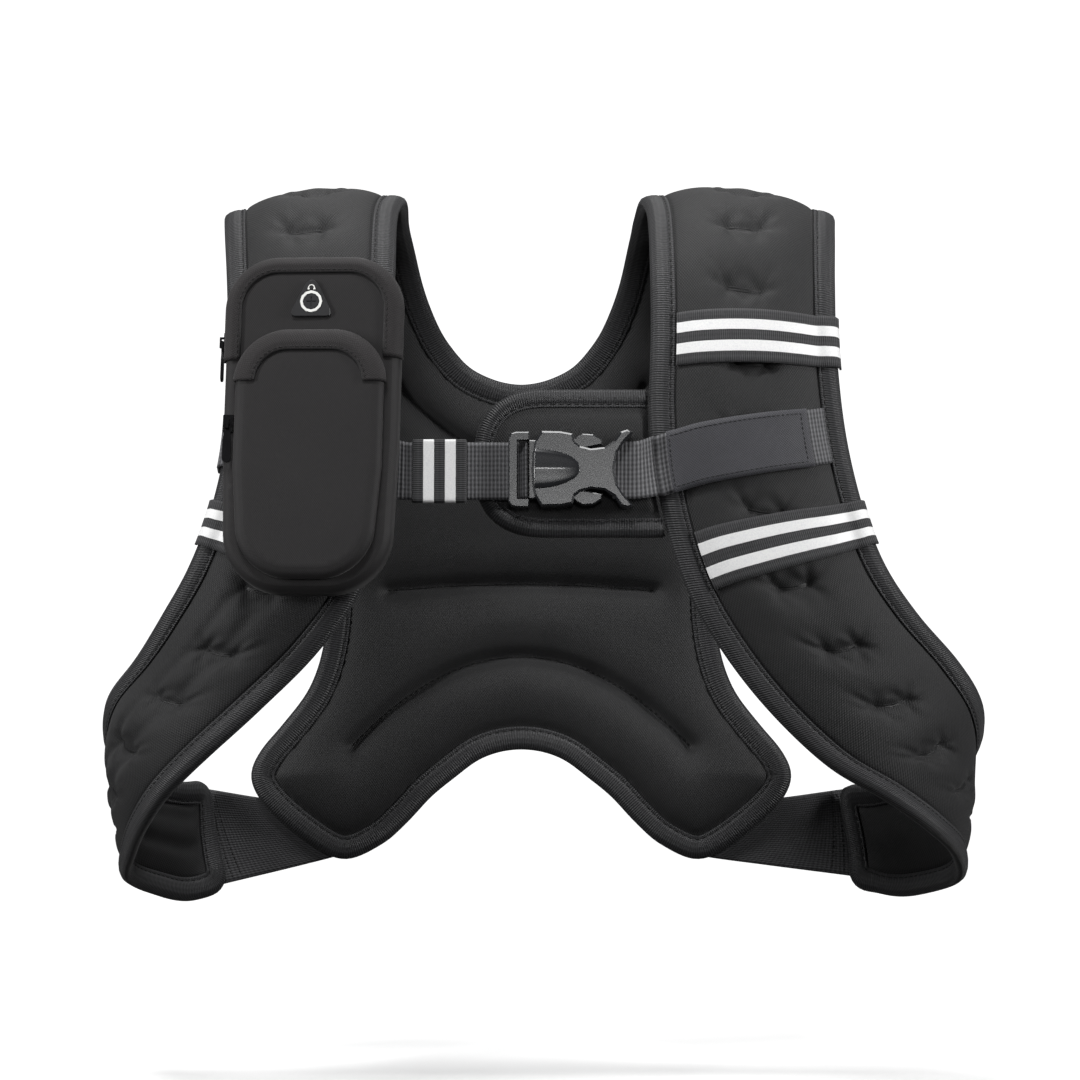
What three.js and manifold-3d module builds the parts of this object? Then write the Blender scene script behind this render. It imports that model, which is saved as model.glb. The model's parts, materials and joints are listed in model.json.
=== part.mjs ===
// Weighted vest, shown as it is worn and facing -Y, in mm with +Z up.
// The origin is midway between the shoulder straps, level with the underside of their crests.
import * as THREE from 'three'
import Module from 'manifold-3d'

const wasm = await Module()
wasm.setup()

// Named sizes of the whole vest
const reachRight = 250
const reachLeft = 225
const frontDepth = 105
const vestDrop = 370
const backDrop = 380
const backHalf = 152

// Named sizes of the cloth and its edge
const pillowHalf = 7.5
const panelHalf = 7
const flangeHalf = 2.4
const flangeWide = 11.3
const tapeThick = 0.8
const tapeGap = 0.4
const tapeWide = flangeWide - 0.8
const tapeOver = 1.9
const edgeTilt = 0.2
const tackPitch = 39.5
const tackShare = 0.75
const seat = 0.35
const webWide = 30
const webThick = 1.5
const bandWide = 28
const bandThick = 1.1

// Named sizes of the hard parts and the pouch
const buckleHigh = 39.4
const buckleThick = 11
const pouchWide = 91
const pouchHigh = 176
const pouchThick = 15
const pocketThick = 7

const point = (x, y, z) => new THREE.Vector3(x, y, z)
const lerp = (a, b, t) => a + (b - a) * t
const mix = (a, b, t) => a.clone().lerp(b, t)
const along = (p, direction, length) => p.clone().addScaledVector(direction, length)
const clamp = (v, lo, hi) => Math.min(hi, Math.max(lo, v))

// Smooth reading of a short table whose first column is the place of the row
function readTable(rows, place) {
  const last = rows.length - 1
  let k = 0
  while (k < last - 1 && rows[k + 1][0] <= place) {
    k += 1
  }
  const step = rows[k + 1][0] - rows[k][0]
  const t = clamp((place - rows[k][0]) / step, 0, 1)
  const slope = (i, c) => {
    const lo = Math.max(i - 1, 0)
    const hi = Math.min(i + 1, last)
    return (rows[hi][c] - rows[lo][c]) / (rows[hi][0] - rows[lo][0])
  }
  return rows[k].map((value, c) => {
    const rise = rows[k + 1][c] - value
    const m0 = slope(k, c) * step
    const m1 = slope(k + 1, c) * step
    return value + m0 * t + (3 * rise - 2 * m0 - m1) * t * t + (m0 + m1 - 2 * rise) * t * t * t
  })
}

// Points at even steps of length along a fine line of points
function evenPoints(line, count) {
  const reach = [0]
  for (let i = 1; i < line.length; i += 1) {
    reach.push(reach[i - 1] + line[i].distanceTo(line[i - 1]))
  }
  const total = reach[reach.length - 1]
  const found = []
  let k = 0
  for (let i = 0; i <= count; i += 1) {
    const want = (total * i) / count
    while (k < line.length - 2 && reach[k + 1] < want) {
      k += 1
    }
    found.push(mix(line[k], line[k + 1], (want - reach[k]) / (reach[k + 1] - reach[k])))
  }
  return found
}

// A closed body from corner points and faces, turned to face outward
function closedBody(corners, faces) {
  let volume = 0
  for (const [a, b, c] of faces) {
    volume += corners[a].dot(corners[b].clone().cross(corners[c]))
  }
  const positions = []
  for (const [a, b, c] of faces) {
    const turned = volume > 0 ? [a, b, c] : [a, c, b]
    for (const k of turned) {
      positions.push(corners[k].x, corners[k].y, corners[k].z)
    }
  }
  const geometry = new THREE.BufferGeometry()
  geometry.setAttribute('position', new THREE.Float32BufferAttribute(positions, 3))
  geometry.computeVertexNormals()
  return geometry
}

// A sheet with a front and a back surface, joined round its open edge
// Each node has mid, normal, front (height in front) and back (depth behind)
function sheetBody(nodes, faces) {
  const corners = []
  for (const node of nodes) {
    corners.push(along(node.mid, node.normal, node.front))
  }
  for (const node of nodes) {
    corners.push(along(node.mid, node.normal, -node.back))
  }
  const size = nodes.length
  const edges = new Map()
  const all = []
  for (const [a, b, c] of faces) {
    all.push([a, b, c])
    all.push([a + size, c + size, b + size])
    for (const [p, q] of [[a, b], [b, c], [c, a]]) {
      const back = `${q}_${p}`
      if (edges.has(back)) {
        edges.delete(back)
      } else {
        edges.set(`${p}_${q}`, [p, q])
      }
    }
  }
  for (const [p, q] of edges.values()) {
    all.push([q, p, p + size])
    all.push([q, p + size, q + size])
  }
  return closedBody(corners, all)
}

// Faces of a grid of nodes stored row by row, with the way each cell is split
function gridFaces(rows, columns, isTurned = () => false) {
  const faces = []
  for (let i = 0; i < rows - 1; i += 1) {
    for (let j = 0; j < columns - 1; j += 1) {
      const a = i * columns + j
      const b = a + columns
      if (isTurned(i)) {
        faces.push([a, b, b + 1])
        faces.push([a, b + 1, a + 1])
      } else {
        faces.push([a, b, a + 1])
        faces.push([a + 1, b, b + 1])
      }
    }
  }
  return faces
}

// A tube of one section carried through stations, closed on itself or capped
function stationTube(stations, section, closed) {
  const corners = []
  const faces = []
  const n = section.length
  for (const s of stations) {
    for (const [inward, out] of section) {
      corners.push(along(along(s.at, s.inward, inward), s.normal, out))
    }
  }
  const spans = closed ? stations.length : stations.length - 1
  for (let k = 0; k < spans; k += 1) {
    const next = (k + 1) % stations.length
    for (let j = 0; j < n; j += 1) {
      const a = k * n + j
      const b = k * n + ((j + 1) % n)
      const c = next * n + j
      const d = next * n + ((j + 1) % n)
      if (j === n - 1) {
        faces.push([a, b, d])
        faces.push([a, d, c])
      } else {
        faces.push([a, b, c])
        faces.push([b, d, c])
      }
    }
  }
  if (!closed) {
    const flat = section.map(([u, v]) => new THREE.Vector2(u, v))
    const top = (stations.length - 1) * n
    for (const [a, b, c] of THREE.ShapeUtils.triangulateShape(flat, [])) {
      faces.push([a, b, c])
      faces.push([top + a, top + c, top + b])
    }
  }
  return closedBody(corners, closed ? faces : fixCaps(faces, n, stations.length))
}

// Turns the two caps of a tube so that they meet its wall
function fixCaps(faces, n, count) {
  const wall = new Set()
  const walls = 2 * n * (count - 1)
  for (const [a, b, c] of faces.slice(0, walls)) {
    wall.add(`${a}_${b}`)
    wall.add(`${b}_${c}`)
    wall.add(`${c}_${a}`)
  }
  const clashes = (face) => {
    const [a, b, c] = face
    return wall.has(`${a}_${b}`) || wall.has(`${b}_${c}`) || wall.has(`${c}_${a}`)
  }
  const caps = faces.slice(walls)
  const low = caps.filter((face) => face[0] < n)
  const high = caps.filter((face) => face[0] >= n)
  const turn = (group) => (group.some(clashes) ? group.map(([a, b, c]) => [a, c, b]) : group)
  return [...faces.slice(0, walls), ...turn(low), ...turn(high)]
}

// Delaunay faces over flat points
function spreadFaces(points) {
  const far = 9000
  const all = [...points, [-far, -far], [far, -far], [0, far]]
  const circle = (a, b, c) => {
    const [ax, ay] = all[a]
    const [bx, by] = all[b]
    const [cx, cy] = all[c]
    const d = 2 * (ax * (by - cy) + bx * (cy - ay) + cx * (ay - by))
    const a2 = ax * ax + ay * ay
    const b2 = bx * bx + by * by
    const c2 = cx * cx + cy * cy
    const x = (a2 * (by - cy) + b2 * (cy - ay) + c2 * (ay - by)) / d
    const y = (a2 * (cx - bx) + b2 * (ax - cx) + c2 * (bx - ax)) / d
    return { face: [a, b, c], x, y, r2: (ax - x) ** 2 + (ay - y) ** 2 }
  }
  const first = points.length
  let found = [circle(first, first + 1, first + 2)]
  points.forEach(([px, py], index) => {
    const hole = found.filter((t) => (px - t.x) ** 2 + (py - t.y) ** 2 < t.r2)
    found = found.filter((t) => !hole.includes(t))
    const rim = new Map()
    for (const { face: [a, b, c] } of hole) {
      for (const [p, q] of [[a, b], [b, c], [c, a]]) {
        if (!rim.delete(`${q}_${p}`)) {
          rim.set(`${p}_${q}`, [p, q])
        }
      }
    }
    for (const [p, q] of rim.values()) {
      found.push(circle(p, q, index))
    }
  })
  return found.map((t) => t.face).filter((face) => Math.max(...face) < first)
}

// Whether a flat point lies inside a closed outline
function isInside([x, y], outline) {
  let inside = false
  outline.forEach(([ax, ay], k) => {
    const [bx, by] = outline[(k + 1) % outline.length]
    if (ay > y !== by > y && x < ((bx - ax) * (y - ay)) / (by - ay) + ax) {
      inside = !inside
    }
  })
  return inside
}

// Shortest flat distance from a point to a run of points
function distanceTo([x, y], line, closed) {
  let best = Infinity
  const spans = closed ? line.length : line.length - 1
  for (let k = 0; k < spans; k += 1) {
    const [ax, ay] = line[k]
    const [bx, by] = line[(k + 1) % line.length]
    const span = (bx - ax) ** 2 + (by - ay) ** 2
    const t = clamp(((x - ax) * (bx - ax) + (y - ay) * (by - ay)) / span, 0, 1)
    best = Math.min(best, Math.hypot(ax + (bx - ax) * t - x, ay + (by - ay) * t - y))
  }
  return best
}

// Back surface
// Columns: share of backDrop down the back, then y and z as shares of backDrop,
// then the shift of y and z at the sides, also as shares of backDrop
const backProfile = [
  [0, 0.068, 0.005, -0.005, -0.026],
  [0.107, 0.158, -0.053, -0.015, -0.021],
  [0.231, 0.224, -0.158, -0.018, -0.01],
  [0.367, 0.258, -0.289, -0.024, 0],
  [0.526, 0.274, -0.447, -0.03, 0],
  [0.683, 0.271, -0.605, -0.032, 0],
  [0.842, 0.258, -0.763, -0.034, 0],
  [1.05, 0.237, -0.968, -0.036, 0],
]

function backPoint(x, w) {
  const [, y, z, sideY, sideZ] = readTable(backProfile, w / backDrop)
  const side = clamp((Math.abs(x) - 30) / (backHalf - 30), 0, 1.1) ** 1.5
  return point(x, (y + sideY * side) * backDrop, (z + sideZ * side) * backDrop)
}

function backNormal(x, w) {
  const across = backPoint(x + 1, w).sub(backPoint(x - 1, w))
  const down = backPoint(x, w + 1).sub(backPoint(x, w - 1))
  return down.cross(across).normalize().multiplyScalar(-1)
}

// Edge of the back on one side, from the neck round to the middle of the lower arch
// Columns: place, share of backHalf across, share of backDrop down
const neckEdge = [
  [0, 0.408, 0],
  [1, 0.401, 0.034],
  [2, 0.378, 0.113],
  [3, 0.349, 0.166],
  [4, 0.303, 0.216],
  [5, 0.257, 0.247],
  [6, 0.2, 0.274],
  [7, 0.138, 0.289],
  [8, 0.069, 0.299],
  [9, 0, 0.303],
]
const sideEdge = [
  [0, 1.06, 0],
  [1, 1.01, 0.147],
  [2, 0.908, 0.271],
  [3, 0.816, 0.395],
  [4, 0.75, 0.5],
  [5, 0.718, 0.605],
  [6, 0.734, 0.69],
  [7, 0.786, 0.755],
  [8, 0.882, 0.808],
  [9, 0.954, 0.842],
  [10, 0.993, 0.868],
]
const lowerEdge = [
  [0, 0.993, 0.868],
  [0.5, 1, 0.89],
  [1, 0.965, 0.92],
  [2, 0.86, 0.962],
  [3, 0.73, 1],
  [3.6, 0.655, 1.01],
  [4.2, 0.585, 1.002],
  [5, 0.493, 0.981],
]
const archEdge = [
  [0, 0.493, 0.981],
  [1, 0.414, 0.95],
  [2, 0.336, 0.916],
  [3, 0.25, 0.888],
  [4, 0.164, 0.862],
  [5, 0.079, 0.849],
  [6, 0, 0.845],
]

function edgeLine(rows, count, side) {
  const fine = []
  const last = rows[rows.length - 1][0]
  for (let i = 0; i <= 200; i += 1) {
    const [, across, down] = readTable(rows, (last * i) / 200)
    fine.push(point(side * across * backHalf, down * backDrop, 0))
  }
  return evenPoints(fine, count).map((p) => [p.x, p.y])
}

const neckSpans = 8
const sideSpans = 12
const lowerSpans = 8
const archSpans = 7
const rightNeck = edgeLine(neckEdge, neckSpans, 1)
const leftNeck = edgeLine(neckEdge, neckSpans, -1)
const outerRun = (side) => [
  ...edgeLine(sideEdge, sideSpans, side),
  ...edgeLine(lowerEdge, lowerSpans, side).slice(1),
  ...edgeLine(archEdge, archSpans, side).slice(1),
]
const rightOuter = outerRun(1)
const leftOuter = outerRun(-1)

// Stations of the bound edge of the back, with the way inward on the surface
function backStations(line, turn) {
  return line.map(([x, w], k) => {
    const [ax, aw] = line[Math.max(k - 1, 0)]
    const [bx, bw] = line[Math.min(k + 1, line.length - 1)]
    const length = Math.hypot(bx - ax, bw - aw)
    const ends = k === 0 || k === line.length - 1
    const nx = ends && w < 1 ? Math.sign(turn * (aw - bw)) : (turn * (aw - bw)) / length
    const nw = ends && w < 1 ? 0 : (turn * (bx - ax)) / length
    const flat = [x + nx * tapeOver, w + nw * tapeOver]
    const inner = [x + nx * (tapeOver + flangeWide), w + nw * (tapeOver + flangeWide)]
    const at = backPoint(flat[0], flat[1])
    const inward = backPoint(inner[0], inner[1]).sub(at).normalize()
    const normal = backNormal(flat[0], flat[1])
    normal.addScaledVector(inward, -normal.dot(inward)).normalize()
    return { at, inward, normal, flat, inner }
  })
}

const neckLine = [...rightNeck, ...leftNeck.slice(0, -1).reverse()]
const neckStations = backStations(neckLine, -1)
const lowerLine = [...leftOuter, ...rightOuter.slice(0, -1).reverse()]
const lowerStations = backStations(lowerLine, -1)

// Sewn lines of the back, as flat points
const archSeam = []
for (let i = -7; i <= 7; i += 1) {
  const x = (i / 7) * 0.63 * backHalf
  archSeam.push([x, backDrop * (0.708 + 0.134 * (i / 7) ** 2)])
}
const waistSeam = []
for (let i = -5; i <= 5; i += 1) {
  waistSeam.push([(i / 5) * 0.5 * backHalf, backDrop * (0.6 + 0.01 * (i / 5) ** 2)])
}
const yokeSeam = []
for (let i = -5; i <= 5; i += 1) {
  yokeSeam.push([(i / 5) * 0.46 * backHalf, backDrop * (0.41 - 0.11 * (i / 5) ** 2)])
}
const backSeams = [archSeam, waistSeam, yokeSeam]

// Columns of a strap between its two flanges, as shares of the width
const strapShares = [0, 0.14, 0.32, 0.5, 0.68, 0.86, 1]
const seamGap = 0.2

// Right strap, from behind the crest, down the front and round to the side
// Columns: place, inner edge x y z, outer edge x y z
// x is a share of the reach, y of frontDepth and z of vestDrop
const strapRight = [
  [1, 0.26, 0, 0.026, 0.676, -0.019, 0],
  [2, 0.274, -0.324, 0, 0.672, -0.295, -0.027],
  [3, 0.276, -0.648, -0.076, 0.664, -0.552, -0.103],
  [4, 0.276, -0.819, -0.178, 0.664, -0.686, -0.205],
  [5, 0.272, -0.924, -0.297, 0.68, -0.771, -0.319],
  [6, 0.292, -0.981, -0.411, 0.714, -0.829, -0.422],
  [7, 0.344, -1.019, -0.53, 0.76, -0.838, -0.503],
  [8, 0.42, -1.029, -0.622, 0.832, -0.762, -0.573],
  [9, 0.52, -1.01, -0.708, 0.92, -0.61, -0.638],
  [10, 0.64, -0.952, -0.784, 0.976, -0.4, -0.692],
  [11, 0.76, -0.838, -0.832, 0.992, -0.133, -0.741],
  [12, 0.864, -0.629, -0.881, 0.976, 0.133, -0.778],
  [13, 0.934, -0.286, -0.924, 0.936, 0.381, -0.805],
  [14, 0.96, 0.143, -0.97, 0.876, 0.571, -0.827],
  [15, 0.904, 0.429, -0.995, 0.8, 0.695, -0.838],
  [16, 0.828, 0.648, -1.005, 0.76, 0.771, -0.841],
  [17, 0.716, 0.79, -0.984, 0.736, 0.819, -0.832],
]

// Left strap, which is drawn in closer to the body
const strapLeft = [
  [1, 0.276, 0, 0.026, 0.711, -0.019, 0],
  [2, 0.293, -0.324, 0, 0.702, -0.267, -0.024],
  [3, 0.293, -0.648, -0.076, 0.687, -0.514, -0.103],
  [4, 0.293, -0.819, -0.178, 0.68, -0.619, -0.2],
  [5, 0.293, -0.924, -0.297, 0.682, -0.695, -0.319],
  [6, 0.311, -0.981, -0.411, 0.711, -0.771, -0.416],
  [7, 0.36, -1.019, -0.53, 0.764, -0.781, -0.503],
  [8, 0.462, -1.029, -0.622, 0.831, -0.686, -0.573],
  [9, 0.596, -0.99, -0.703, 0.902, -0.495, -0.638],
  [10, 0.724, -0.914, -0.773, 0.972, -0.286, -0.692],
  [11, 0.818, -0.781, -0.827, 0.993, -0.038, -0.741],
  [12, 0.88, -0.571, -0.876, 0.984, 0.19, -0.778],
  [13, 0.924, -0.267, -0.92, 0.95, 0.4, -0.811],
  [14, 0.956, 0.114, -0.968, 0.9, 0.552, -0.83],
  [15, 0.898, 0.4, -0.997, 0.844, 0.648, -0.835],
  [16, 0.818, 0.629, -1.012, 0.818, 0.724, -0.835],
  [17, 0.698, 0.781, -0.989, 0.8, 0.781, -0.832],
]

// The two bound edges of a strap at every row, and the frame of the cloth there
function strapFrame(rows, side, reach) {
  const seamIn = backPoint(side * neckEdge[0][1] * backHalf, 0)
  const seamOut = backPoint(side * sideEdge[0][1] * backHalf, 0)
  const table = rows.map(([at, ix, iy, iz, ox, oy, oz]) => [
    at,
    side * ix * reach,
    iy * frontDepth,
    iz * vestDrop,
    side * ox * reach,
    oy * frontDepth,
    oz * vestDrop,
  ])
  table.unshift([0, ...seamIn.toArray(), ...seamOut.toArray()])
  const fine = []
  const reachAt = [0]
  for (let k = 0; k <= 680; k += 1) {
    const [, ax, ay, az, bx, by, bz] = readTable(table, k / 40)
    const pair = { a: point(ax, ay, az), b: point(bx, by, bz) }
    pair.mid = mix(pair.a, pair.b, 0.5)
    fine.push(pair)
    if (k > 0) {
      reachAt.push(reachAt[k - 1] + pair.mid.distanceTo(fine[k - 1].mid))
    }
  }
  const total = reachAt[reachAt.length - 1]
  const pairAt = (length) => {
    let k = 0
    while (k < fine.length - 2 && reachAt[k + 1] < length) {
      k += 1
    }
    const t = clamp((length - reachAt[k]) / (reachAt[k + 1] - reachAt[k]), 0, 1)
    return { a: mix(fine[k].a, fine[k + 1].a, t), b: mix(fine[k].b, fine[k + 1].b, t) }
  }
  const frameAt = (length) => {
    const { a, b } = pairAt(length)
    const before = pairAt(Math.max(length - 4, 0))
    const after = pairAt(Math.min(length + 4, total))
    const across = b.clone().sub(a).normalize()
    const tilted = (p, q, tilt) => {
      const onward = q.clone().sub(p).normalize()
      const flat = onward.cross(across).normalize().multiplyScalar(side)
      const normal = flat.clone().multiplyScalar(Math.cos(tilt))
      return normal.addScaledVector(across, Math.sin(tilt)).normalize()
    }
    const normalA = tilted(before.a, after.a, -edgeTilt)
    const normalB = tilted(before.b, after.b, edgeTilt)
    const inA = across.clone().addScaledVector(normalA, -across.dot(normalA)).normalize()
    const inB = across.clone().negate()
    inB.addScaledVector(normalB, -inB.dot(normalB)).normalize()
    return {
      length,
      stationA: { at: along(a, inA, tapeOver), inward: inA, normal: normalA },
      stationB: { at: along(b, inB, tapeOver), inward: inB, normal: normalB },
    }
  }
  return { total, frameAt }
}

// Everything that is known of one strap: its nodes, the stations of its edge and its support surface
function makeStrap(rows, side, reach, crease) {
  const { total, frameAt } = strapFrame(rows, side, reach)
  const step = tackPitch / 3
  const lastRow = Math.floor((total - tapeOver - flangeWide) / step - 0.5)
  const frames = []
  for (let i = 0; i <= lastRow; i += 1) {
    frames.push(frameAt(i * step))
  }
  frames.push(frameAt(total - tapeOver - flangeWide))
  const seamNormal = (x) => backNormal(x, 0)
  const first = frames[0]
  const seamStation = (edge, way) => {
    const x = edge * side * backHalf + way * side * tapeOver
    const at = backPoint(x, 0)
    const inward = backPoint(x + way * side * flangeWide, 0).sub(at).normalize()
    return { at, inward, normal: seamNormal(x) }
  }
  first.stationA = seamStation(neckEdge[0][1], 1)
  first.stationB = seamStation(sideEdge[0][1], -1)
  const onward = frames[1].stationA.at.clone().sub(first.stationA.at).normalize()
  const grid = []
  frames.forEach((frame, i) => {
    const { stationA, stationB } = frame
    const innerA = along(stationA.at, stationA.inward, flangeWide)
    const innerB = along(stationB.at, stationB.inward, flangeWide)
    const width = innerA.distanceTo(innerB)
    const middle = mix(stationA.normal, stationB.normal, 0.5).normalize()
    const swell = i === 0 ? 0 : 1
    const isTack = i % 3 === 0 && i > 2 && i < lastRow - 1
    const line = [{ mid: stationA.at, normal: stationA.normal, front: flangeHalf, back: flangeHalf }]
    for (const share of strapShares) {
      const normal = mix(stationA.normal, stationB.normal, share).normalize()
      const rise = width * 0.25 * Math.tan(edgeTilt) * 4 * share * (1 - share)
      const mid = along(mix(innerA, innerB, share), middle, rise)
      if (i === 0) {
        mid.copy(backPoint(mid.x, 0))
      }
      const shape = Math.sin(Math.PI * share) ** 0.6
      const away = (share - 0.5) * width
      const dent = isTack ? tackShare * Math.exp(-((away / 14) ** 2)) : 0
      const fold = share === 0.5 ? crease * clamp((i - 12) / 6, 0, 1) : 0
      const full = flangeHalf + (pillowHalf - flangeHalf) * (share % 1 === 0 ? 0 : shape) * swell
      const held = (1 - dent) * (1 - fold)
      const half = flangeHalf + (full - flangeHalf) * held
      line.push({ mid, normal, front: half, back: half, full })
    }
    line.push({ mid: stationB.at, normal: stationB.normal, front: flangeHalf, back: flangeHalf })
    if (i === 0) {
      for (const node of line) {
        node.mid.addScaledVector(onward, seamGap)
      }
    }
    grid.push(line)
  })
  // The free end, with a corner of one flange width at each side
  const tail = frames[frames.length - 1]
  const tailLine = grid[grid.length - 1]
  const before = grid[grid.length - 2]
  const endLine = []
  const endStations = []
  tailLine.forEach((node, j) => {
    const inner = tailLine[clamp(j, 1, tailLine.length - 2)]
    const out = inner.mid.clone().sub(before[clamp(j, 1, tailLine.length - 2)].mid)
    const away = j === 0 ? tail.stationA.inward : tail.stationB.inward
    const normal = inner.normal
    if (j === 0 || j === tailLine.length - 1) {
      out.normalize().sub(away)
    }
    out.addScaledVector(normal, -out.dot(normal)).normalize()
    const mid = along(inner.mid, out, flangeWide)
    endLine.push({ mid, normal, front: flangeHalf, back: flangeHalf })
    endStations.push({ at: mid, inward: out.clone().negate(), normal })
  })
  for (const node of tailLine) {
    node.front = flangeHalf
    node.back = flangeHalf
  }
  grid.push(endLine)
  return { side, step, total, frames, grid, endStations }
}

const right = makeStrap(strapRight, 1, reachRight, 0)
const left = makeStrap(strapLeft, -1, reachLeft, 0.25)

function strapBody(strap) {
  const nodes = strap.grid.flat()
  const rows = strap.grid.length
  const isTurned = (i) => (i === rows - 2) === strap.side > 0
  return sheetBody(nodes, gridFaces(rows, strap.grid[0].length, isTurned))
}

// Back panel: flange strips along the bound edges and a spread of faces inside them
function backBody() {
  const nodes = []
  const faces = []
  const flats = []
  const addNode = (flat, at, normal, half) => {
    nodes.push({ mid: at, normal, front: half, back: half })
    flats.push(flat)
    return nodes.length - 1
  }
  const addEdge = (stations) => {
    const pairs = stations.map((s) => {
      const atSeam = s.flat[1] < 0.5
      const shift = atSeam ? seamGap : 0
      const outer = backPoint(s.flat[0], s.flat[1] + shift)
      const inner = atSeam
        ? backPoint(s.inner[0], s.inner[1] + shift)
        : along(s.at, s.inward, flangeWide)
      return [
        addNode([s.flat[0], s.flat[1] + shift], outer, s.normal, flangeHalf),
        addNode([s.inner[0], s.inner[1] + shift], inner, s.normal, flangeHalf),
      ]
    })
    for (let k = 0; k < pairs.length - 1; k += 1) {
      const [a, b] = pairs[k]
      const [c, d] = pairs[k + 1]
      faces.push([a, c, d])
      faces.push([a, d, b])
    }
    return pairs.map((pair) => pair[1])
  }
  const neckInner = addEdge(neckStations)
  const lowerInner = addEdge(lowerStations)
  const seamNodes = (from, to) => {
    const [ax] = flats[from]
    const [bx] = flats[to]
    return strapShares.slice(1, -1).map((share) => {
      const x = lerp(ax, bx, share)
      return addNode([x, seamGap], backPoint(x, seamGap), backNormal(x, 0), flangeHalf)
    })
  }
  const leftSeam = seamNodes(neckInner[neckInner.length - 1], lowerInner[0])
  const rightSeam = seamNodes(lowerInner[lowerInner.length - 1], neckInner[0])
  const loop = [...neckInner, ...leftSeam, ...lowerInner, ...rightSeam]
  const outline = loop.map((k) => flats[k])
  const bound = [...neckInner, ...lowerInner].map((k) => flats[k])
  const inside = []
  const wanted = (flat, space) => {
    const clear = distanceTo(flat, outline, true) > 9
    const apart = (p) => Math.hypot(p[0] - flat[0], p[1] - flat[1]) > space
    return clear && isInside(flat, outline) && inside.every(apart)
  }
  for (const seam of backSeams) {
    for (const flat of seam) {
      if (wanted(flat, 8)) {
        inside.push(flat)
      }
    }
  }
  const pitch = 22
  for (let row = 1; row * pitch * 0.866 < backDrop * 1.03; row += 1) {
    for (let k = -10; k <= 10; k += 1) {
      const x = (k + (row % 2) / 2) * pitch + 0.3 * Math.sin(row * 1.7)
      const flat = [x, row * pitch * 0.866 + 0.2 * Math.sin(k * 2.3)]
      if (wanted(flat, 11)) {
        inside.push(flat)
      }
    }
  }
  const innerKeys = [...loop]
  for (const flat of inside) {
    const edge = Math.min(distanceTo(flat, bound, false), distanceTo(flat, outline, true))
    const swell = Math.sin((Math.PI / 2) * clamp(edge / 34, 0, 1)) ** 0.7
    const seamAway = Math.min(...backSeams.map((seam) => distanceTo(flat, seam, false)))
    const sewn = 0.72 * Math.exp(-((seamAway / 6) ** 2))
    const half = flangeHalf + (panelHalf - flangeHalf) * swell * (1 - sewn)
    innerKeys.push(addNode(flat, backPoint(flat[0], flat[1]), backNormal(flat[0], flat[1]), half))
  }
  for (const face of spreadFaces(innerKeys.map((k) => flats[k]))) {
    const centre = [0, 1].map((c) => face.reduce((sum, k) => sum + flats[innerKeys[k]][c] / 3, 0))
    if (isInside(centre, outline)) {
      faces.push(face.map((k) => innerKeys[k]))
    }
  }
  const [a, b, c] = faces[faces.length - 1].map((k) => flats[k])
  const turn = Math.sign((b[0] - a[0]) * (c[1] - a[1]) - (b[1] - a[1]) * (c[0] - a[0]))
  const tidy = faces.map((face) => {
    const [p, q, r] = face.map((k) => flats[k])
    const way = Math.sign((q[0] - p[0]) * (r[1] - p[1]) - (q[1] - p[1]) * (r[0] - p[0]))
    return way === turn ? face : [face[0], face[2], face[1]]
  })
  return sheetBody(nodes, tidy)
}

// Edge tape, one closed ring round both straps and the back
const tapeIn = flangeHalf + tapeGap
const tapeOut = tapeIn + tapeThick
const tapeSection = [
  [tapeWide, tapeIn + 0.1],
  [-tapeOver, tapeOut],
  [-tapeOver, -tapeOut],
  [tapeWide, -tapeIn - 0.1],
  [-tapeGap, -tapeIn],
  [-tapeGap, tapeIn],
]

const ringStations = [
  ...right.frames.slice(1).map((f) => f.stationA).reverse(),
  ...neckStations,
  ...left.frames.slice(1).map((f) => f.stationA),
  ...left.endStations,
  ...left.frames.slice(1).map((f) => f.stationB).reverse(),
  ...lowerStations,
  ...right.frames.slice(1).map((f) => f.stationB),
  ...[...right.endStations].reverse(),
]

// Support surface of a strap at a fractional row: what lies on the strap rests on this
function supportAt(strap, length, column, lift) {
  const place = clamp(length / strap.step, 0, strap.frames.length - 1.001)
  const i = Math.floor(place)
  const top = (row) => {
    const line = strap.grid[row]
    const last = line.length - 1
    const edgeA = strap.frames[row].stationA
    const edgeB = strap.frames[row].stationB
    if (column < 0 || column > last) {
      const edge = column < 0 ? edgeA : edgeB
      const mid = along(edge.at, edge.inward, -tapeOver - 0.4)
      return { mid, normal: edge.normal, height: tapeOut }
    }
    const node = line[column]
    const heights = { 0: tapeOut, 1: tapeIn + 0.15, [last - 1]: tapeIn + 0.15, [last]: tapeOut }
    return { mid: node.mid, normal: node.normal, height: heights[column] ?? node.full }
  }
  const [p, q] = [top(i), top(i + 1)]
  const t = place - i
  const normal = mix(p.normal, q.normal, t).normalize()
  const low = along(p.mid, p.normal, p.height)
  const high = along(q.mid, q.normal, q.height)
  return { mid: along(mix(low, high, t), normal, lift), normal, front: 0, back: 0 }
}

// A strip laid across a strap, with its middle line between two lengths along the strap
function stripNodes(strap, { fromA, toB, wide, thick, lift, first, last }) {
  const columns = []
  for (let j = first; j <= last; j += 1) {
    columns.push(j)
  }
  const rows = [-0.5, -0.17, 0.17, 0.5]
  const count = strap.grid[0].length - 1
  return rows.map((row) => columns.map((j) => {
    const length = lerp(fromA, toB, clamp(j / count, 0, 1)) + row * wide
    const node = supportAt(strap, length, j, lift)
    return { ...node, front: thick }
  }))
}

function stripBody(nodes) {
  return sheetBody(nodes.flat(), gridFaces(nodes.length, nodes[0].length))
}

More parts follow.
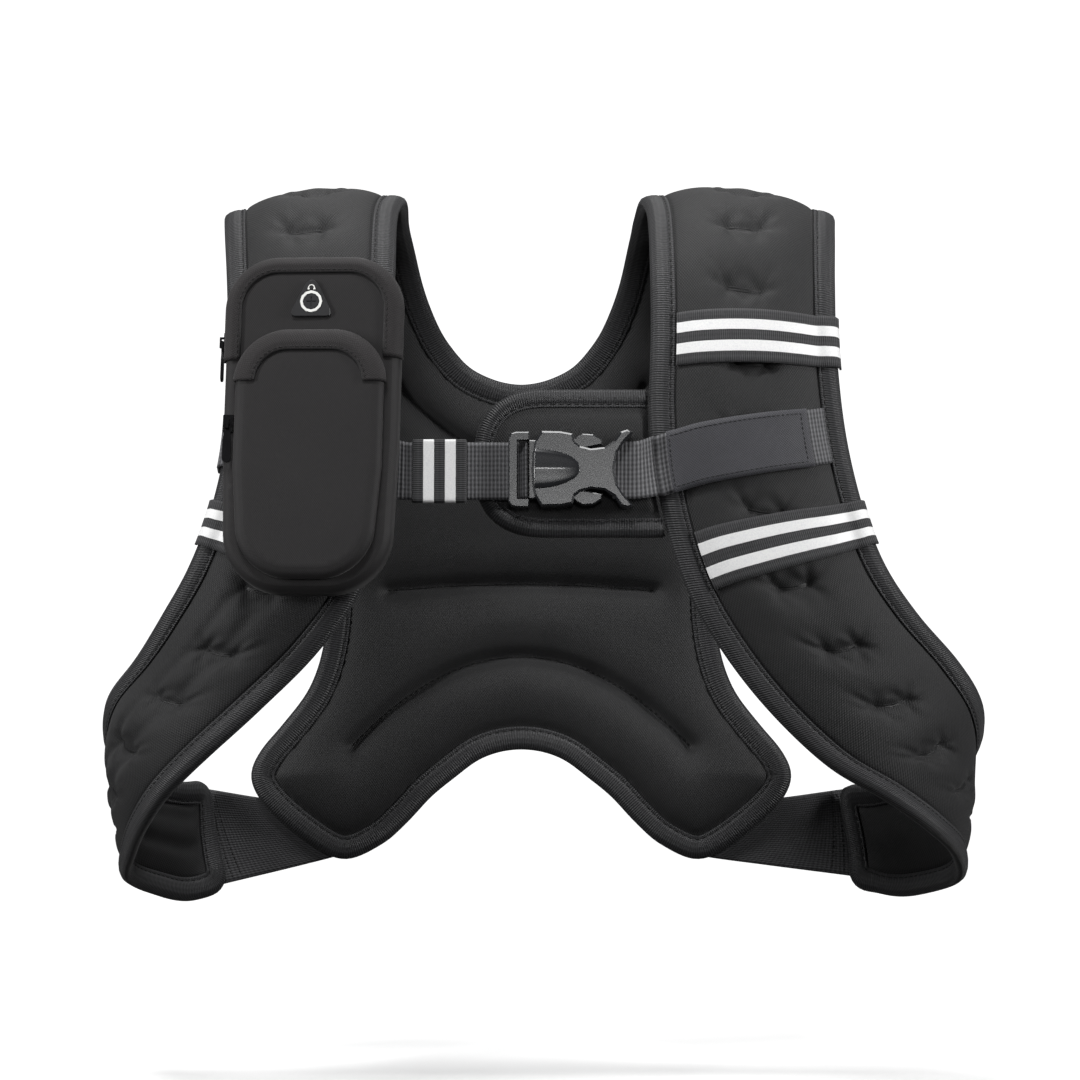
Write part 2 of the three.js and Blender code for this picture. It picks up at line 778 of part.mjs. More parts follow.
// Lengths along a strap at which an edge passes a given height
function lengthAtHeight(strap, edge, z) {
  const frames = strap.frames
  for (let i = 3; i < frames.length - 1; i += 1) {
    const high = frames[i][edge].at.z
    const low = frames[i + 1][edge].at.z
    if (high >= z && low < z) {
      return (i + (high - z) / (high - low)) * strap.step
    }
  }
  return 0
}

const lastColumn = right.grid[0].length - 1
const upperBandZ = -0.19 * vestDrop
const lowerBandInZ = -0.51 * vestDrop
const lowerBandOutZ = -0.445 * vestDrop
const webInZ = -0.365 * vestDrop
const webOutRightZ = -0.317 * vestDrop
const webOutLeftZ = -0.33 * vestDrop
const span = (strap, inZ, outZ) => ({
  fromA: lengthAtHeight(strap, 'stationA', inZ),
  toB: lengthAtHeight(strap, 'stationB', outZ),
})
const bandSize = { wide: bandWide, thick: bandThick, lift: seat }
const bandUpperRight = stripNodes(right, {
  ...span(right, upperBandZ, upperBandZ),
  ...bandSize,
  first: 1,
  last: lastColumn + 1,
})
const bandLowerRight = stripNodes(right, {
  ...span(right, lowerBandInZ, lowerBandOutZ),
  ...bandSize,
  first: 1,
  last: lastColumn + 1,
})
const bandLowerLeft = stripNodes(left, {
  ...span(left, lowerBandInZ, lowerBandOutZ),
  ...bandSize,
  first: 1,
  last: lastColumn + 1,
})
const patchRight = stripNodes(right, {
  ...span(right, webInZ, webOutRightZ),
  wide: webWide + 1,
  thick: bandThick,
  lift: 2 * seat + webThick,
  first: 1,
  last: lastColumn - 1,
})

// Chest frame: the plane in which the buckle, its pad and the webbing between the straps lie
const chestTilt = 0.15
const chest = new THREE.Group()
chest.position.set(0.108 * reachRight, -0.943 * frontDepth, -0.374 * vestDrop)
chest.rotation.x = -chestTilt
chest.updateMatrixWorld(true)
const toChest = (p) => chest.worldToLocal(p.clone())
const fromChest = (x, y, z) => chest.localToWorld(point(x, y, z))
const padHalf = 4
const buckleY = -(padHalf + 0.5 + buckleThick / 2)
const buckleHalf = buckleHigh / 2

// Webbing on one strap, carried on to its end at the buckle
function chestWeb(strap, tail) {
  const onStrap = stripNodes(strap, {
    ...span(strap, webInZ, strap.side > 0 ? webOutRightZ : webOutLeftZ),
    wide: webWide,
    thick: webThick,
    lift: seat,
    first: -1,
    last: lastColumn + 1,
  })
  const out = strap.side > 0 ? 0 : 8
  return onStrap.map((line, k) => {
    const z = [-0.5, -0.17, 0.17, 0.5][k] * webWide
    const head = tail.map(([x, y, turn]) => {
      const normal = point(Math.sin(turn) * strap.side, -Math.cos(turn), 0)
      normal.transformDirection(chest.matrixWorld)
      return { mid: fromChest(x, y, -z), normal, front: webThick / 2, back: webThick / 2 }
    })
    const end = line[line.length - 1]
    const before = line[line.length - 2]
    const way = end.mid.clone().sub(before.mid)
    way.addScaledVector(end.normal, -way.dot(end.normal)).normalize()
    const stub = out > 0 ? [{ ...end, mid: along(end.mid, way, out) }] : []
    return [...head, ...line, ...stub]
  })
}

// Ends of the webbing at the buckle: x and y in the chest frame and the turn of the cloth
const webRightNodes = chestWeb(right, [
  [1.218 * buckleHalf, buckleY, 0],
  [1.675 * buckleHalf, buckleY, 0],
])
const webLeftNodes = chestWeb(left, [
  [-1.152 * buckleHalf, buckleY - 1, 0.6],
  [-1.239 * buckleHalf, buckleY + 0.9, 0.75],
  [-1.381 * buckleHalf, buckleY + 3.5, 0.4],
  [-1.675 * buckleHalf, buckleY + 3.7, 0],
  [-2.741 * buckleHalf, buckleY + 3.7, 0],
  [-4.264 * buckleHalf, buckleY + 3.4, 0],
])

// Buckle profiles, x along the webbing and y up, as shares of half the buckle height
const scaled = (rows) => rows.map(([x, y]) => new THREE.Vector2(x * buckleHalf, y * buckleHalf))
const mirrored = (rows) => {
  const upper = rows.filter(([, y]) => y > 0.001).reverse()
  return [...rows, ...upper.map(([x, y]) => [x, -y])]
}
const femaleOutline = mirrored([
  [-1.05, 0],
  [-1.03, 0.4],
  [-0.97, 0.72],
  [-0.79, 1],
  [-0.3, 0.99],
  [0.02, 0.93],
  [0.07, 0.72],
  [0.22, 0.6],
  [0.5, 0.53],
  [0.85, 0.57],
  [1.12, 0.74],
  [1.28, 0.98],
  [1.45, 1.04],
  [1.6, 0.98],
  [1.36, 0.7],
  [1.18, 0.42],
  [1.1, 0],
])

function extruded(outline, holes, thick, bevel) {
  const shape = new THREE.Shape(scaled(outline))
  for (const hole of holes) {
    shape.holes.push(new THREE.Path(scaled(hole)))
  }
  const geometry = new THREE.ExtrudeGeometry(shape, {
    depth: thick - 2 * bevel,
    bevelEnabled: bevel > 0,
    bevelThickness: bevel,
    bevelSize: bevel,
    bevelOffset: -bevel,
    bevelSegments: 1,
    curveSegments: 6,
  })
  geometry.translate(0, 0, -thick / 2 + bevel)
  return geometry.rotateX(Math.PI / 2)
}

// Solid work for the hard parts
function toSolid(geometry) {
  const flat = geometry.index ? geometry.toNonIndexed() : geometry
  const place = flat.getAttribute('position')
  const keys = new Map()
  const vertProperties = []
  const triVerts = []
  for (let i = 0; i < place.count; i += 1) {
    const row = [place.getX(i), place.getY(i), place.getZ(i)]
    const key = row.map((v) => Math.round(v * 1e4)).join('_')
    if (!keys.has(key)) {
      keys.set(key, keys.size)
      vertProperties.push(...row)
    }
    triVerts.push(keys.get(key))
  }
  return new wasm.Manifold(new wasm.Mesh({
    numProp: 3,
    vertProperties: new Float32Array(vertProperties),
    triVerts: new Uint32Array(triVerts),
  }))
}

function toGeometry(solid) {
  const mesh = solid.getMesh()
  const geometry = new THREE.BufferGeometry()
  geometry.setAttribute('position', new THREE.Float32BufferAttribute(mesh.vertProperties, 3))
  geometry.setIndex([...mesh.triVerts])
  const split = geometry.toNonIndexed()
  split.computeVertexNormals()
  return split
}

function block(x0, x1, y0, y1, z0, z1) {
  const box = new THREE.BoxGeometry(x1 - x0, y1 - y0, z1 - z0)
  return toSolid(box.translate((x0 + x1) / 2, (y0 + y1) / 2, (z0 + z1) / 2))
}

function femaleBody() {
  let body = toSolid(extruded(femaleOutline, [], buckleThick, 1))
  const dome = new THREE.SphereGeometry(1, 12, 6).scale(1.24 * buckleHalf, 1.7, 0.53 * buckleHalf)
  dome.translate(-1.03 * buckleHalf, -buckleThick / 2, 0)
  const clear = block(-0.98 * buckleHalf, 2 * buckleHalf, -20, 20, -buckleHalf, buckleHalf)
  body = body.add(toSolid(dome).intersect(clear))
  const sleeveHalf = 0.82 * buckleHalf
  const slotHalf = webWide / 2 + 0.5
  body = body.subtract(block(-2 * buckleHalf, 0.92 * buckleHalf, -4, 4, -sleeveHalf, sleeveHalf))
  body = body.subtract(block(1.02 * buckleHalf, 2 * buckleHalf, -1.3, 1.3, -slotHalf, slotHalf))
  return toGeometry(body)
}

function maleBody() {
  const outer = mirrored([
    [-1.66, 0],
    [-1.66, 0.86],
    [-1.58, 0.96],
    [-1.46, 1],
    [-1.12, 1],
    [-1.1, 0.78],
    [-0.5, 0.76],
    [0, 0.76],
    [0.12, 0.86],
    [0.28, 0.95],
    [0.56, 0.93],
    [0.78, 0.8],
    [0.8, 0.66],
    [0.3, 0.56],
    [-0.5, 0.52],
    [-0.78, 0.46],
    [-0.8, 0.14],
    [0.3, 0.12],
    [0.36, 0],
  ])
  const slot = block(-1.44 * buckleHalf, -1.11 * buckleHalf, -9, 9, -0.79 * buckleHalf, 0.79 * buckleHalf)
  return toGeometry(toSolid(extruded(outer, [], 5.2, 0.6)).subtract(slot))
}

// Buckle pad, a round-ended flap that ends at the right strap
function padParts() {
  const levelOf = (share) => toChest(chest.position.clone().setZ(share * vestDrop)).z
  const topZ = levelOf(-0.255)
  const lowZ = levelOf(-0.465)
  const middle = (topZ + lowZ) / 2
  const rise = (topZ - lowZ) / 2
  const edgeX = (z) => {
    const nearby = [-5, 0, 5].map((shift) => {
      const place = lengthAtHeight(right, 'stationA', fromChest(0, 0, z + shift).z) / right.step
      const i = Math.floor(place)
      const frames = right.frames
      return toChest(mix(frames[i].stationA.at, frames[i + 1].stationA.at, place - i)).x
    })
    return Math.min(...nearby) - tapeOver - 1.4
  }
  const round = 37.5
  const centre = -13
  const outline = []
  for (let i = 0; i <= 4; i += 1) {
    outline.push([lerp(edgeX(topZ), centre, i / 4), topZ, true])
  }
  for (let i = 1; i < 12; i += 1) {
    const turn = (Math.PI * i) / 12
    const x = centre - round * Math.sin(turn) ** 0.8
    outline.push([x, middle + rise * Math.sign(Math.cos(turn)) * Math.abs(Math.cos(turn)) ** 0.8, true])
  }
  for (let i = 0; i <= 4; i += 1) {
    outline.push([lerp(centre, edgeX(lowZ), i / 4), lowZ, true])
  }
  for (let i = 1; i < 4; i += 1) {
    const z = lerp(lowZ, topZ, i / 4)
    outline.push([edgeX(z), z, false])
  }
  const count = outline.length
  const bound = outline.filter((row) => row[2]).length
  const inset = 8.3
  const stations = outline.map(([x, z, isBound], k) => {
    const [ax, az] = outline[(k + count - 1) % count]
    const [bx, bz] = outline[(k + 1) % count]
    const way = point(-(bz - az), 0, bx - ax).normalize()
    if (k === 0 || k === bound - 1) {
      way.set(0, 0, k === 0 ? -1 : 1)
    }
    if (!isBound) {
      way.set(-1, 0, 0)
    }
    const at = point(x, 0, z).addScaledVector(way, isBound ? tapeOver : 0)
    return { at, inward: way, normal: point(0, -1, 0) }
  })
  const nodes = []
  const faces = []
  const hub = point(18, 0, middle)
  const rings = [0, inset, 0.45, 0.8]
  rings.forEach((ring, r) => {
    for (const s of stations) {
      const inner = along(s.at, s.inward, inset)
      const mid = r === 0 ? s.at : r === 1 ? inner : mix(inner, hub, ring)
      const front = [flangeHalf - 0.6, flangeHalf - 0.6, padHalf - 0.3, padHalf][r]
      nodes.push({ mid: mid.clone(), normal: s.normal, front, back: front })
    }
  })
  nodes.push({ mid: hub, normal: point(0, -1, 0), front: padHalf, back: padHalf })
  for (let r = 0; r < rings.length; r += 1) {
    for (let k = 0; k < count; k += 1) {
      const next = (k + 1) % count
      const a = r * count + k
      const b = r * count + next
      if (r === rings.length - 1) {
        faces.push([a, b, nodes.length - 1])
      } else {
        faces.push([a, b, a + count])
        faces.push([b, b + count, a + count])
      }
    }
  }
  const low = flangeHalf - 0.6 + tapeGap
  const section = [
    [inset - 0.9, low + 0.1],
    [-tapeOver, low + tapeThick],
    [-tapeOver, -low - tapeThick],
    [inset - 0.9, -low - 0.1],
    [-tapeGap, -low],
    [-tapeGap, low],
  ]
  return {
    pad: sheetBody(nodes, faces),
    tape: stationTube(stations.filter((s, k) => outline[k][2]), section, false),
  }
}

// A rounded cushion built of level rings over one flat outline, lying in x and z and facing -y
function cushion(outline, levels) {
  const corners = []
  const faces = []
  const count = outline.length
  const inset = (amount) => outline.map(([x, z], k) => {
    const [ax, az] = outline[(k + count - 1) % count]
    const [bx, bz] = outline[(k + 1) % count]
    const length = Math.hypot(bx - ax, bz - az)
    return [x + ((bz - az) / length) * amount, z - ((bx - ax) / length) * amount]
  })
  for (const [amount, y] of levels) {
    for (const [x, z] of inset(amount)) {
      corners.push(point(x, -y, z))
    }
  }
  for (let r = 0; r < levels.length - 1; r += 1) {
    for (let k = 0; k < count; k += 1) {
      const next = (k + 1) % count
      const a = r * count + k
      const b = r * count + next
      faces.push([a, b, a + count])
      faces.push([b, b + count, a + count])
    }
  }
  const flat = inset(levels[0][0]).map(([x, z]) => new THREE.Vector2(x, z))
  const top = (levels.length - 1) * count
  for (const [a, b, c] of THREE.ShapeUtils.triangulateShape(flat, [])) {
    faces.push([a, b, c])
    faces.push([top + a, top + c, top + b])
  }
  return closedBody(corners, fixCaps(faces, count, levels.length))
}

// A round-cornered outline, clockwise from the middle of the foot, with the width as a function of height
function softOutline(halfWide, low, high, { rLow, rHigh, lean, rests }) {
  const rows = []
  const wideAt = (z) => halfWide * (1 - lean * clamp((high - z) / (high - low) - 0.55, 0, 1))
  const quarter = (cz, r, from) => {
    for (let i = 0; i <= 5; i += 1) {
      const turn = from + (Math.PI / 2) * (i / 5)
      const z = cz - r * Math.cos(turn)
      rows.push([-wideAt(z) + r - r * Math.sin(turn), z])
    }
  }
  quarter(low + rLow, rLow, 0)
  for (const share of rests) {
    rows.push([-wideAt(lerp(low, high, share)), lerp(low, high, share)])
  }
  quarter(high - rHigh, rHigh, Math.PI / 2)
  const leftSide = [...rows]
  const rightSide = [...rows].reverse().map(([x, z]) => [-x, z])
  return [...leftSide, ...rightSide]
}

const pouchLow = -pouchHigh / 2
const pouchTop = pouchHigh / 2
const pouchOutline = softOutline(pouchWide / 2, pouchLow, pouchTop, {
  rLow: 31,
  rHigh: 27,
  lean: 0.13,
  rests: [0.42, 0.69],
})
const pocketLow = pouchLow + 6.5
const pocketTop = 0.27 * pouchHigh
const pocketOutline = softOutline(0.423 * pouchWide, pocketLow, pocketTop, {
  rLow: 26,
  rHigh: 27,
  lean: 0.26,
  rests: [0.35, 0.56],
})
const pouchLevels = [
  [2.2, 0],
  [0.4, 1.2],
  [0, 4],
  [0, 0.68 * pouchThick],
  [1.2, 0.87 * pouchThick],
  [3.4, pouchThick],
]
const pocketLevels = [
  [0, pouchThick + seat],
  [0, pouchThick + 0.5 * pocketThick],
  [2, pouchThick + 0.82 * pocketThick],
  [5.5, pouchThick + pocketThick],
]

// Cloth guard over a zip: a strip bent over the shoulder of a cushion along part of its outline
function guardBody(outline, { from, to, levels, rim, thick }) {
  const stations = []
  const count = outline.length
  const top = levels[levels.length - 1][1]
  for (let k = from; k <= to; k += 1) {
    const [x, z] = outline[k]
    const [ax, az] = outline[(k + count - 1) % count]
    const [bx, bz] = outline[(k + 1) % count]
    const length = Math.hypot(bx - ax, bz - az)
    const inward = point((bz - az) / length, 0, -(bx - ax) / length)
    stations.push({ at: point(x, -top, z), inward, normal: point(0, -1, 0) })
  }
  const shoulder = levels.slice(-3).map(([inset, y]) => [inset, y - top])
  const [[a, low], [b, middle], [c]] = shoulder
  const section = [
    [a - seat, rim],
    [a - seat, low],
    [b - seat, middle + seat],
    [c, seat],
    [c + 3, seat],
    [c + 3, seat + 0.4],
    [c - 0.4, seat + thick],
    [b - seat - 0.8 * thick, middle + seat + 0.8 * thick],
    [a - seat - thick, low],
    [a - seat - thick, rim],
  ]
  return stationTube(stations, section, false)
}

// Pouch frame on the left strap, turned to lie along it
const pouch = new THREE.Group()
pouch.rotation.set(-0.19, 0, -0.12, 'ZYX')
pouch.position.set(-0.473 * reachLeft, -frontDepth, -0.313 * vestDrop)
pouch.updateMatrixWorld(true)
const restRows = []
for (let i = 3; i < 24; i += 1) {
  for (let j = 0; j <= lastColumn; j += 1) {
    restRows.push(supportAt(left, i * left.step, j, 0).mid)
  }
}
const layers = [webLeftNodes, bandLowerLeft].flat(2).map((node) => along(node.mid, node.normal, node.front))
const rested = [...restRows, ...layers].map((p) => pouch.worldToLocal(p.clone()))
const under = rested.filter((p) => Math.abs(p.x) < pouchWide / 2 + 4 && Math.abs(p.z) < pouchHigh / 2 + 8)
const pouchShift = Math.min(...under.map((p) => p.y)) - seat
pouch.position.copy(pouch.localToWorld(point(0, pouchShift, 0)))
pouch.updateMatrixWorld(true)

// Cable port: a rubber plate with a printed ring
function portBodies() {
  const plate = new THREE.Shape()
  plate.moveTo(-8.5, -9)
  plate.quadraticCurveTo(-11.1, -8.6, -9.9, -5)
  plate.lineTo(-3, 9)
  plate.quadraticCurveTo(0, 12.4, 3, 9)
  plate.lineTo(9.9, -5)
  plate.quadraticCurveTo(11.1, -8.6, 8.5, -9)
  plate.lineTo(-8.5, -9)
  const base = new THREE.ExtrudeGeometry(plate, {
    depth: 1.2,
    bevelEnabled: true,
    bevelThickness: 0.4,
    bevelSize: 0.4,
    bevelOffset: -0.4,
    bevelSegments: 1,
    curveSegments: 3,
  })
  base.rotateX(Math.PI / 2)
  let rubber = toSolid(base)
  const groove = new THREE.Shape()
  groove.absarc(0, -1, 6.1, 0, 2 * Math.PI)
  const inner = new THREE.Path()
  inner.absarc(0, -1, 4.1, 0, 2 * Math.PI)
  groove.holes.push(inner)
  const cut = new THREE.ExtrudeGeometry(groove, { depth: 1, bevelEnabled: false, curveSegments: 6 })
  cut.rotateX(Math.PI / 2).translate(0, -0.8, 0)
  rubber = rubber.subtract(toSolid(cut))
  rubber = rubber.subtract(block(-2.6, 2.6, -4, -0.9, -1.3, -0.7))
  rubber = rubber.subtract(block(-0.3, 0.3, -4, -0.9, -3.6, 1.6))
  const ring = new THREE.Shape()
  ring.absarc(0, -1, 5.8, 0, 2 * Math.PI)
  const middle = new THREE.Path()
  middle.absarc(0, -1, 4.4, 0, 2 * Math.PI)
  ring.holes.push(middle)
  const print = new THREE.ExtrudeGeometry(ring, { depth: 0.6, bevelEnabled: false, curveSegments: 6 })
  print.rotateX(Math.PI / 2).translate(0, -1.1, 0)
  return { rubber: toGeometry(rubber), print }
}

// Zip slider: a base block with a bridge over its middle, facing -y
const baseHigh = 2.2
const pinHeight = baseHigh + 0.85
function sliderBody() {
  let body = block(-2.6, 2.6, -baseHigh, 0, -4.5, 4.5)
  body = body.add(block(-0.8, 0.8, -baseHigh - 2.6, -baseHigh + 0.2, 1.95, 2.85))
  body = body.add(block(-0.8, 0.8, -baseHigh - 2.6, -baseHigh + 0.2, -2.85, -1.95))
  body = body.add(block(-0.8, 0.8, -baseHigh - 2.6, -baseHigh - 1.7, -2.85, 2.85))
  return toGeometry(body)
}

// Zip pull: a flat tab with an eye whose top bar lies under the bridge, hung from the pin line
function pullBody() {
  const tab = new THREE.Shape()
  tab.moveTo(-2.3, 0.5)
  tab.lineTo(2.3, 0.5)
  tab.lineTo(2.3, -3)
  tab.lineTo(1.7, -6)
  tab.lineTo(2.3, -9)
  tab.lineTo(2.3, -19.5)
  tab.quadraticCurveTo(0, -22.5, -2.3, -19.5)
  tab.lineTo(-2.3, -9)
  tab.lineTo(-1.7, -6)
  tab.lineTo(-2.3, -3)
  tab.lineTo(-2.3, 0.5)
  const eye = new THREE.Path()
  eye.moveTo(-1.25, -0.5)
  eye.lineTo(-1.25, -3.9)
  eye.lineTo(1.25, -3.9)
  eye.lineTo(1.25, -0.5)
  eye.lineTo(-1.25, -0.5)
  tab.holes.push(eye)
  const geometry = new THREE.ExtrudeGeometry(tab, { depth: 1, bevelEnabled: false, curveSegments: 4 })
  return geometry.translate(0, 0, -0.5).rotateX(Math.PI / 2)
}

// Elastic between the end of a strap and the lower corner of the back, on their outer faces
// It fans out towards the strap by this factor
const elasticSpread = 1.45
function elasticBody(strap) {
  const side = strap.side
  const onBack = side > 0 ? [...lowerStations].reverse() : lowerStations
  const firstBack = sideSpans + 1.6
  const lastBack = sideSpans + lowerSpans - 2.9
  const ends = strap.endStations
  const sample = (stations, place, inward, lift) => {
    const i = Math.floor(place)
    const t = place - i
    const [p, q] = [stations[i], stations[i + 1]]
    const normal = mix(p.normal, q.normal, t).normalize()
    const lay = (s) => along(along(s.at, s.inward, inward), s.normal, lift)
    return { mid: mix(lay(p), lay(q), t), normal, front: webThick, back: 0 }
  }
  const low = tapeIn + 0.15 + seat
  const high = tapeOut + seat
  const centre = ends[Math.floor(ends.length / 2)]
  const spread = (node) => {
    const away = node.mid.clone().sub(centre.at)
    away.addScaledVector(centre.inward, -away.dot(centre.inward))
    away.addScaledVector(centre.normal, -away.dot(centre.normal))
    return { ...node, mid: along(node.mid, away, elasticSpread - 1) }
  }
  const rows = []
  for (let r = 0; r <= 6; r += 1) {
    const share = r / 6
    const backPlace = lerp(firstBack, lastBack, share)
    const endPlace = lerp(ends.length - 1.999, 1.001, share)
    const a = [
      sample(onBack, backPlace, tapeWide, low),
      sample(onBack, backPlace, 0, high),
      sample(onBack, backPlace, -tapeOver - 0.5, high),
    ]
    const b = [
      sample(ends, endPlace, -tapeOver - 0.5, high),
      sample(ends, endPlace, 0, high),
      sample(ends, endPlace, tapeWide, low),
    ].map(spread)
    const between = {
      mid: mix(a[2].mid, b[0].mid, 0.5),
      normal: mix(a[2].normal, b[0].normal, 0.5).normalize(),
      front: webThick,
      back: 0,
    }
    rows.push([...a, between, ...b])
  }
  return sheetBody(rows.flat(), gridFaces(rows.length, rows[0].length))
}

// Striped sleeve round the left webbing, a flat tube along x in the chest frame
function sleeveBody() {
  const x0 = -4.193 * buckleHalf
  const x1 = -2.751 * buckleHalf
  const ring = (w, t) => [[-t, -w], [t, -w], [t, w], [-t, w]]
  const outer = ring(webWide / 2 + 1.6, webThick / 2 + 1.5)
  const inner = ring(webWide / 2 + 0.5, webThick / 2 + 0.5)
  const shape = new THREE.Shape(outer.map(([y, z]) => new THREE.Vector2(y, z)))
  shape.holes.push(new THREE.Path(inner.map(([y, z]) => new THREE.Vector2(y, z))))
  const geometry = new THREE.ExtrudeGeometry(shape, { depth: x1 - x0, bevelEnabled: false })
  geometry.applyMatrix4(new THREE.Matrix4().set(0, 0, 1, x0, 1, 0, 0, buckleY + 3.6, 0, 1, 0, 0, 0, 0, 0, 1))
  return geometry
}

// Finishes
function finish(color, roughness, metalness) {
  return new THREE.MeshStandardMaterial({ color, roughness, metalness })
}
const neoprene = '#232324'
const tapeBlack = '#1b1b1c'
const ribBlack = '#2a2a2c'
const acetal = '#3a3b3d'
const pouchCloth = '#2b2a2b'

const vest = new THREE.Group()
vest.name = 'weighted_vest'

function addPart(parent, name, geometry, material) {
  const mesh = new THREE.Mesh(geometry, material)
  mesh.name = name
  parent.add(mesh)
  return mesh
}

addPart(vest, 'back_panel', backBody(), finish(neoprene, 0.9, 0))
addPart(vest, 'strap_right', strapBody(right), finish(neoprene, 0.9, 0))
addPart(vest, 'strap_left', strapBody(left), finish(neoprene, 0.9, 0))
addPart(vest, 'edge_binding', stationTube(ringStations, tapeSection, true), finish(tapeBlack, 0.85, 0))
addPart(vest, 'elastic_right', elasticBody(right), finish(ribBlack, 0.9, 0))
addPart(vest, 'elastic_left', elasticBody(left), finish(ribBlack, 0.9, 0))
addPart(vest, 'band_upper_right', stripBody(bandUpperRight), finish('#d9d9d6', 0.6, 0))
addPart(vest, 'band_lower_right', stripBody(bandLowerRight), finish('#d9d9d6', 0.6, 0))
addPart(vest, 'band_lower_left', stripBody(bandLowerLeft), finish('#d9d9d6', 0.6, 0))
addPart(vest, 'chest_web_right', stripBody(webRightNodes), finish(ribBlack, 0.85, 0))
addPart(vest, 'chest_web_left', stripBody(webLeftNodes), finish(ribBlack, 0.85, 0))
addPart(vest, 'web_patch', stripBody(patchRight), finish('#1f1f21', 0.9, 0))

const padPieces = padParts()
addPart(chest, 'buckle_pad', padPieces.pad, finish(neoprene, 0.9, 0))
addPart(chest, 'pad_binding', padPieces.tape, finish(tapeBlack, 0.85, 0))
addPart(chest, 'buckle_female', femaleBody(), finish(acetal, 0.35, 0)).position.y = buckleY
addPart(chest, 'buckle_male', maleBody(), finish(acetal, 0.35, 0)).position.y = buckleY
addPart(chest, 'web_sleeve', sleeveBody(), finish(ribBlack, 0.85, 0))
vest.add(chest)

addPart(pouch, 'pouch_body', cushion(pouchOutline, pouchLevels), finish(pouchCloth, 0.85, 0))
addPart(pouch, 'pouch_pocket', cushion(pocketOutline, pocketLevels), finish(pouchCloth, 0.85, 0))
const mainGuard = guardBody(pouchOutline, {
  from: 7,
  to: pouchOutline.length - 8,
  levels: pouchLevels,
  rim: -7,
  thick: 1,
})
const pocketGuard = guardBody(pocketOutline, {
  from: 8,
  to: pocketOutline.length - 8,
  levels: pocketLevels,
  rim: -6,
  thick: 1,
})
addPart(pouch, 'pouch_guard_main', mainGuard, finish('#242324', 0.9, 0))
addPart(pouch, 'pouch_guard_pocket', pocketGuard, finish('#242324', 0.9, 0))
const port = portBodies()
const portHeight = 0.372 * pouchHigh
const rubberPlate = addPart(pouch, 'cable_port', port.rubber, finish('#2f3033', 0.6, 0))
rubberPlate.position.set(-0.01 * pouchWide, -pouchThick - 0.4 - seat, portHeight)
const printedRing = addPart(pouch, 'port_ring', port.print, finish('#f2f2ee', 0.5, 0))
printedRing.position.copy(rubberPlate.position)

const lowerZip = new THREE.Group()
lowerZip.position.set(-0.463 * pouchWide, -pouchThick - seat, 0)
const upperZip = new THREE.Group()
upperZip.position.set(-pouchWide / 2 - seat, -0.3 * pouchThick, 0.26 * pouchHigh)
upperZip.rotation.z = -Math.PI / 2
for (const [group, place] of [[lowerZip, 'lower'], [upperZip, 'upper']]) {
  addPart(group, `zip_slider_${place}`, sliderBody(), finish('#151516', 0.4, 0.6))
  addPart(group, `zip_pull_${place}`, pullBody(), finish('#151516', 0.4, 0.6)).position.y = -pinHeight
  pouch.add(group)
}
vest.add(pouch)

export default vest
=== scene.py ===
"""Weighted training vest: its cloth, tape, webbing, buckle and pouch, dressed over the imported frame."""

import json
import logging
from collections.abc import Callable
from dataclasses import dataclass, field
from enum import Enum

import bpy
import numpy as np
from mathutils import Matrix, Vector
from mathutils.geometry import delaunay_2d_cdt

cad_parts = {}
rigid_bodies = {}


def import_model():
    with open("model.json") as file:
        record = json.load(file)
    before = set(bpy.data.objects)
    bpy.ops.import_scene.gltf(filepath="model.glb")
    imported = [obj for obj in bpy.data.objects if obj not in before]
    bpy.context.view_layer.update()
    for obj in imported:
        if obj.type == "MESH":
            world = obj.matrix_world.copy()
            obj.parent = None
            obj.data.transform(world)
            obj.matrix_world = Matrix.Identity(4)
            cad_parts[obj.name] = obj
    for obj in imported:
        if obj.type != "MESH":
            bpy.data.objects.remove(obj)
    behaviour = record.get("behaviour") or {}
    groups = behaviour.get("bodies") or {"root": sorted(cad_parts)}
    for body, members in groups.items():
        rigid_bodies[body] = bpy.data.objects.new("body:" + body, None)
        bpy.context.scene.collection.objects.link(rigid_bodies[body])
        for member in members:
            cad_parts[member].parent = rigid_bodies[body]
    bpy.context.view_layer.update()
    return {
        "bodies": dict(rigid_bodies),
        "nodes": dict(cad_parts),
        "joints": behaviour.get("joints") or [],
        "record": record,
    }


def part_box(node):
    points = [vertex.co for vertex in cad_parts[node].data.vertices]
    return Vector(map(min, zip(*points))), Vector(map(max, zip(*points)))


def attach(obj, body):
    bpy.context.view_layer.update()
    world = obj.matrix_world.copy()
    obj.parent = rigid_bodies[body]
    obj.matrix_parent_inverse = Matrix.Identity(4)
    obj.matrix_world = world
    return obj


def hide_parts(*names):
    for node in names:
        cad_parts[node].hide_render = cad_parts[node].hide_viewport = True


Array = np.ndarray
MM = 0.001
log = logging.getLogger("vest")

# Sizes that the whole vest shares with its frame, in mm
REACH_RIGHT = 250.0
REACH_LEFT = 225.0
FRONT_DEPTH = 105.0
VEST_DROP = 370.0
BACK_DROP = 380.0
BACK_HALF = 152.0
PILLOW_HALF = 7.5
FLANGE_HALF = 2.4
FLANGE_WIDE = 11.3
TAPE_OVER = 1.9
TAPE_WIDE = FLANGE_WIDE - 0.8
EDGE_TILT = 0.2
TACK_PITCH = 39.5
SEAT = 0.35
WEB_WIDE = 30.0
WEB_THICK = 1.5
BAND_WIDE = 28.0
BAND_THICK = 1.1
PATCH_THICK = 1.0

# Heights where the chest webbing meets the straps, as shares of the drop
WEB_IN = -0.365
WEB_OUT_RIGHT = -0.317
WEB_OUT_LEFT = -0.33

# The way forward, and places across a strip as shares of its width
FORWARD = np.array([0, -1.0, 0])
ACROSS = np.linspace(-0.5, 0.5, 13)


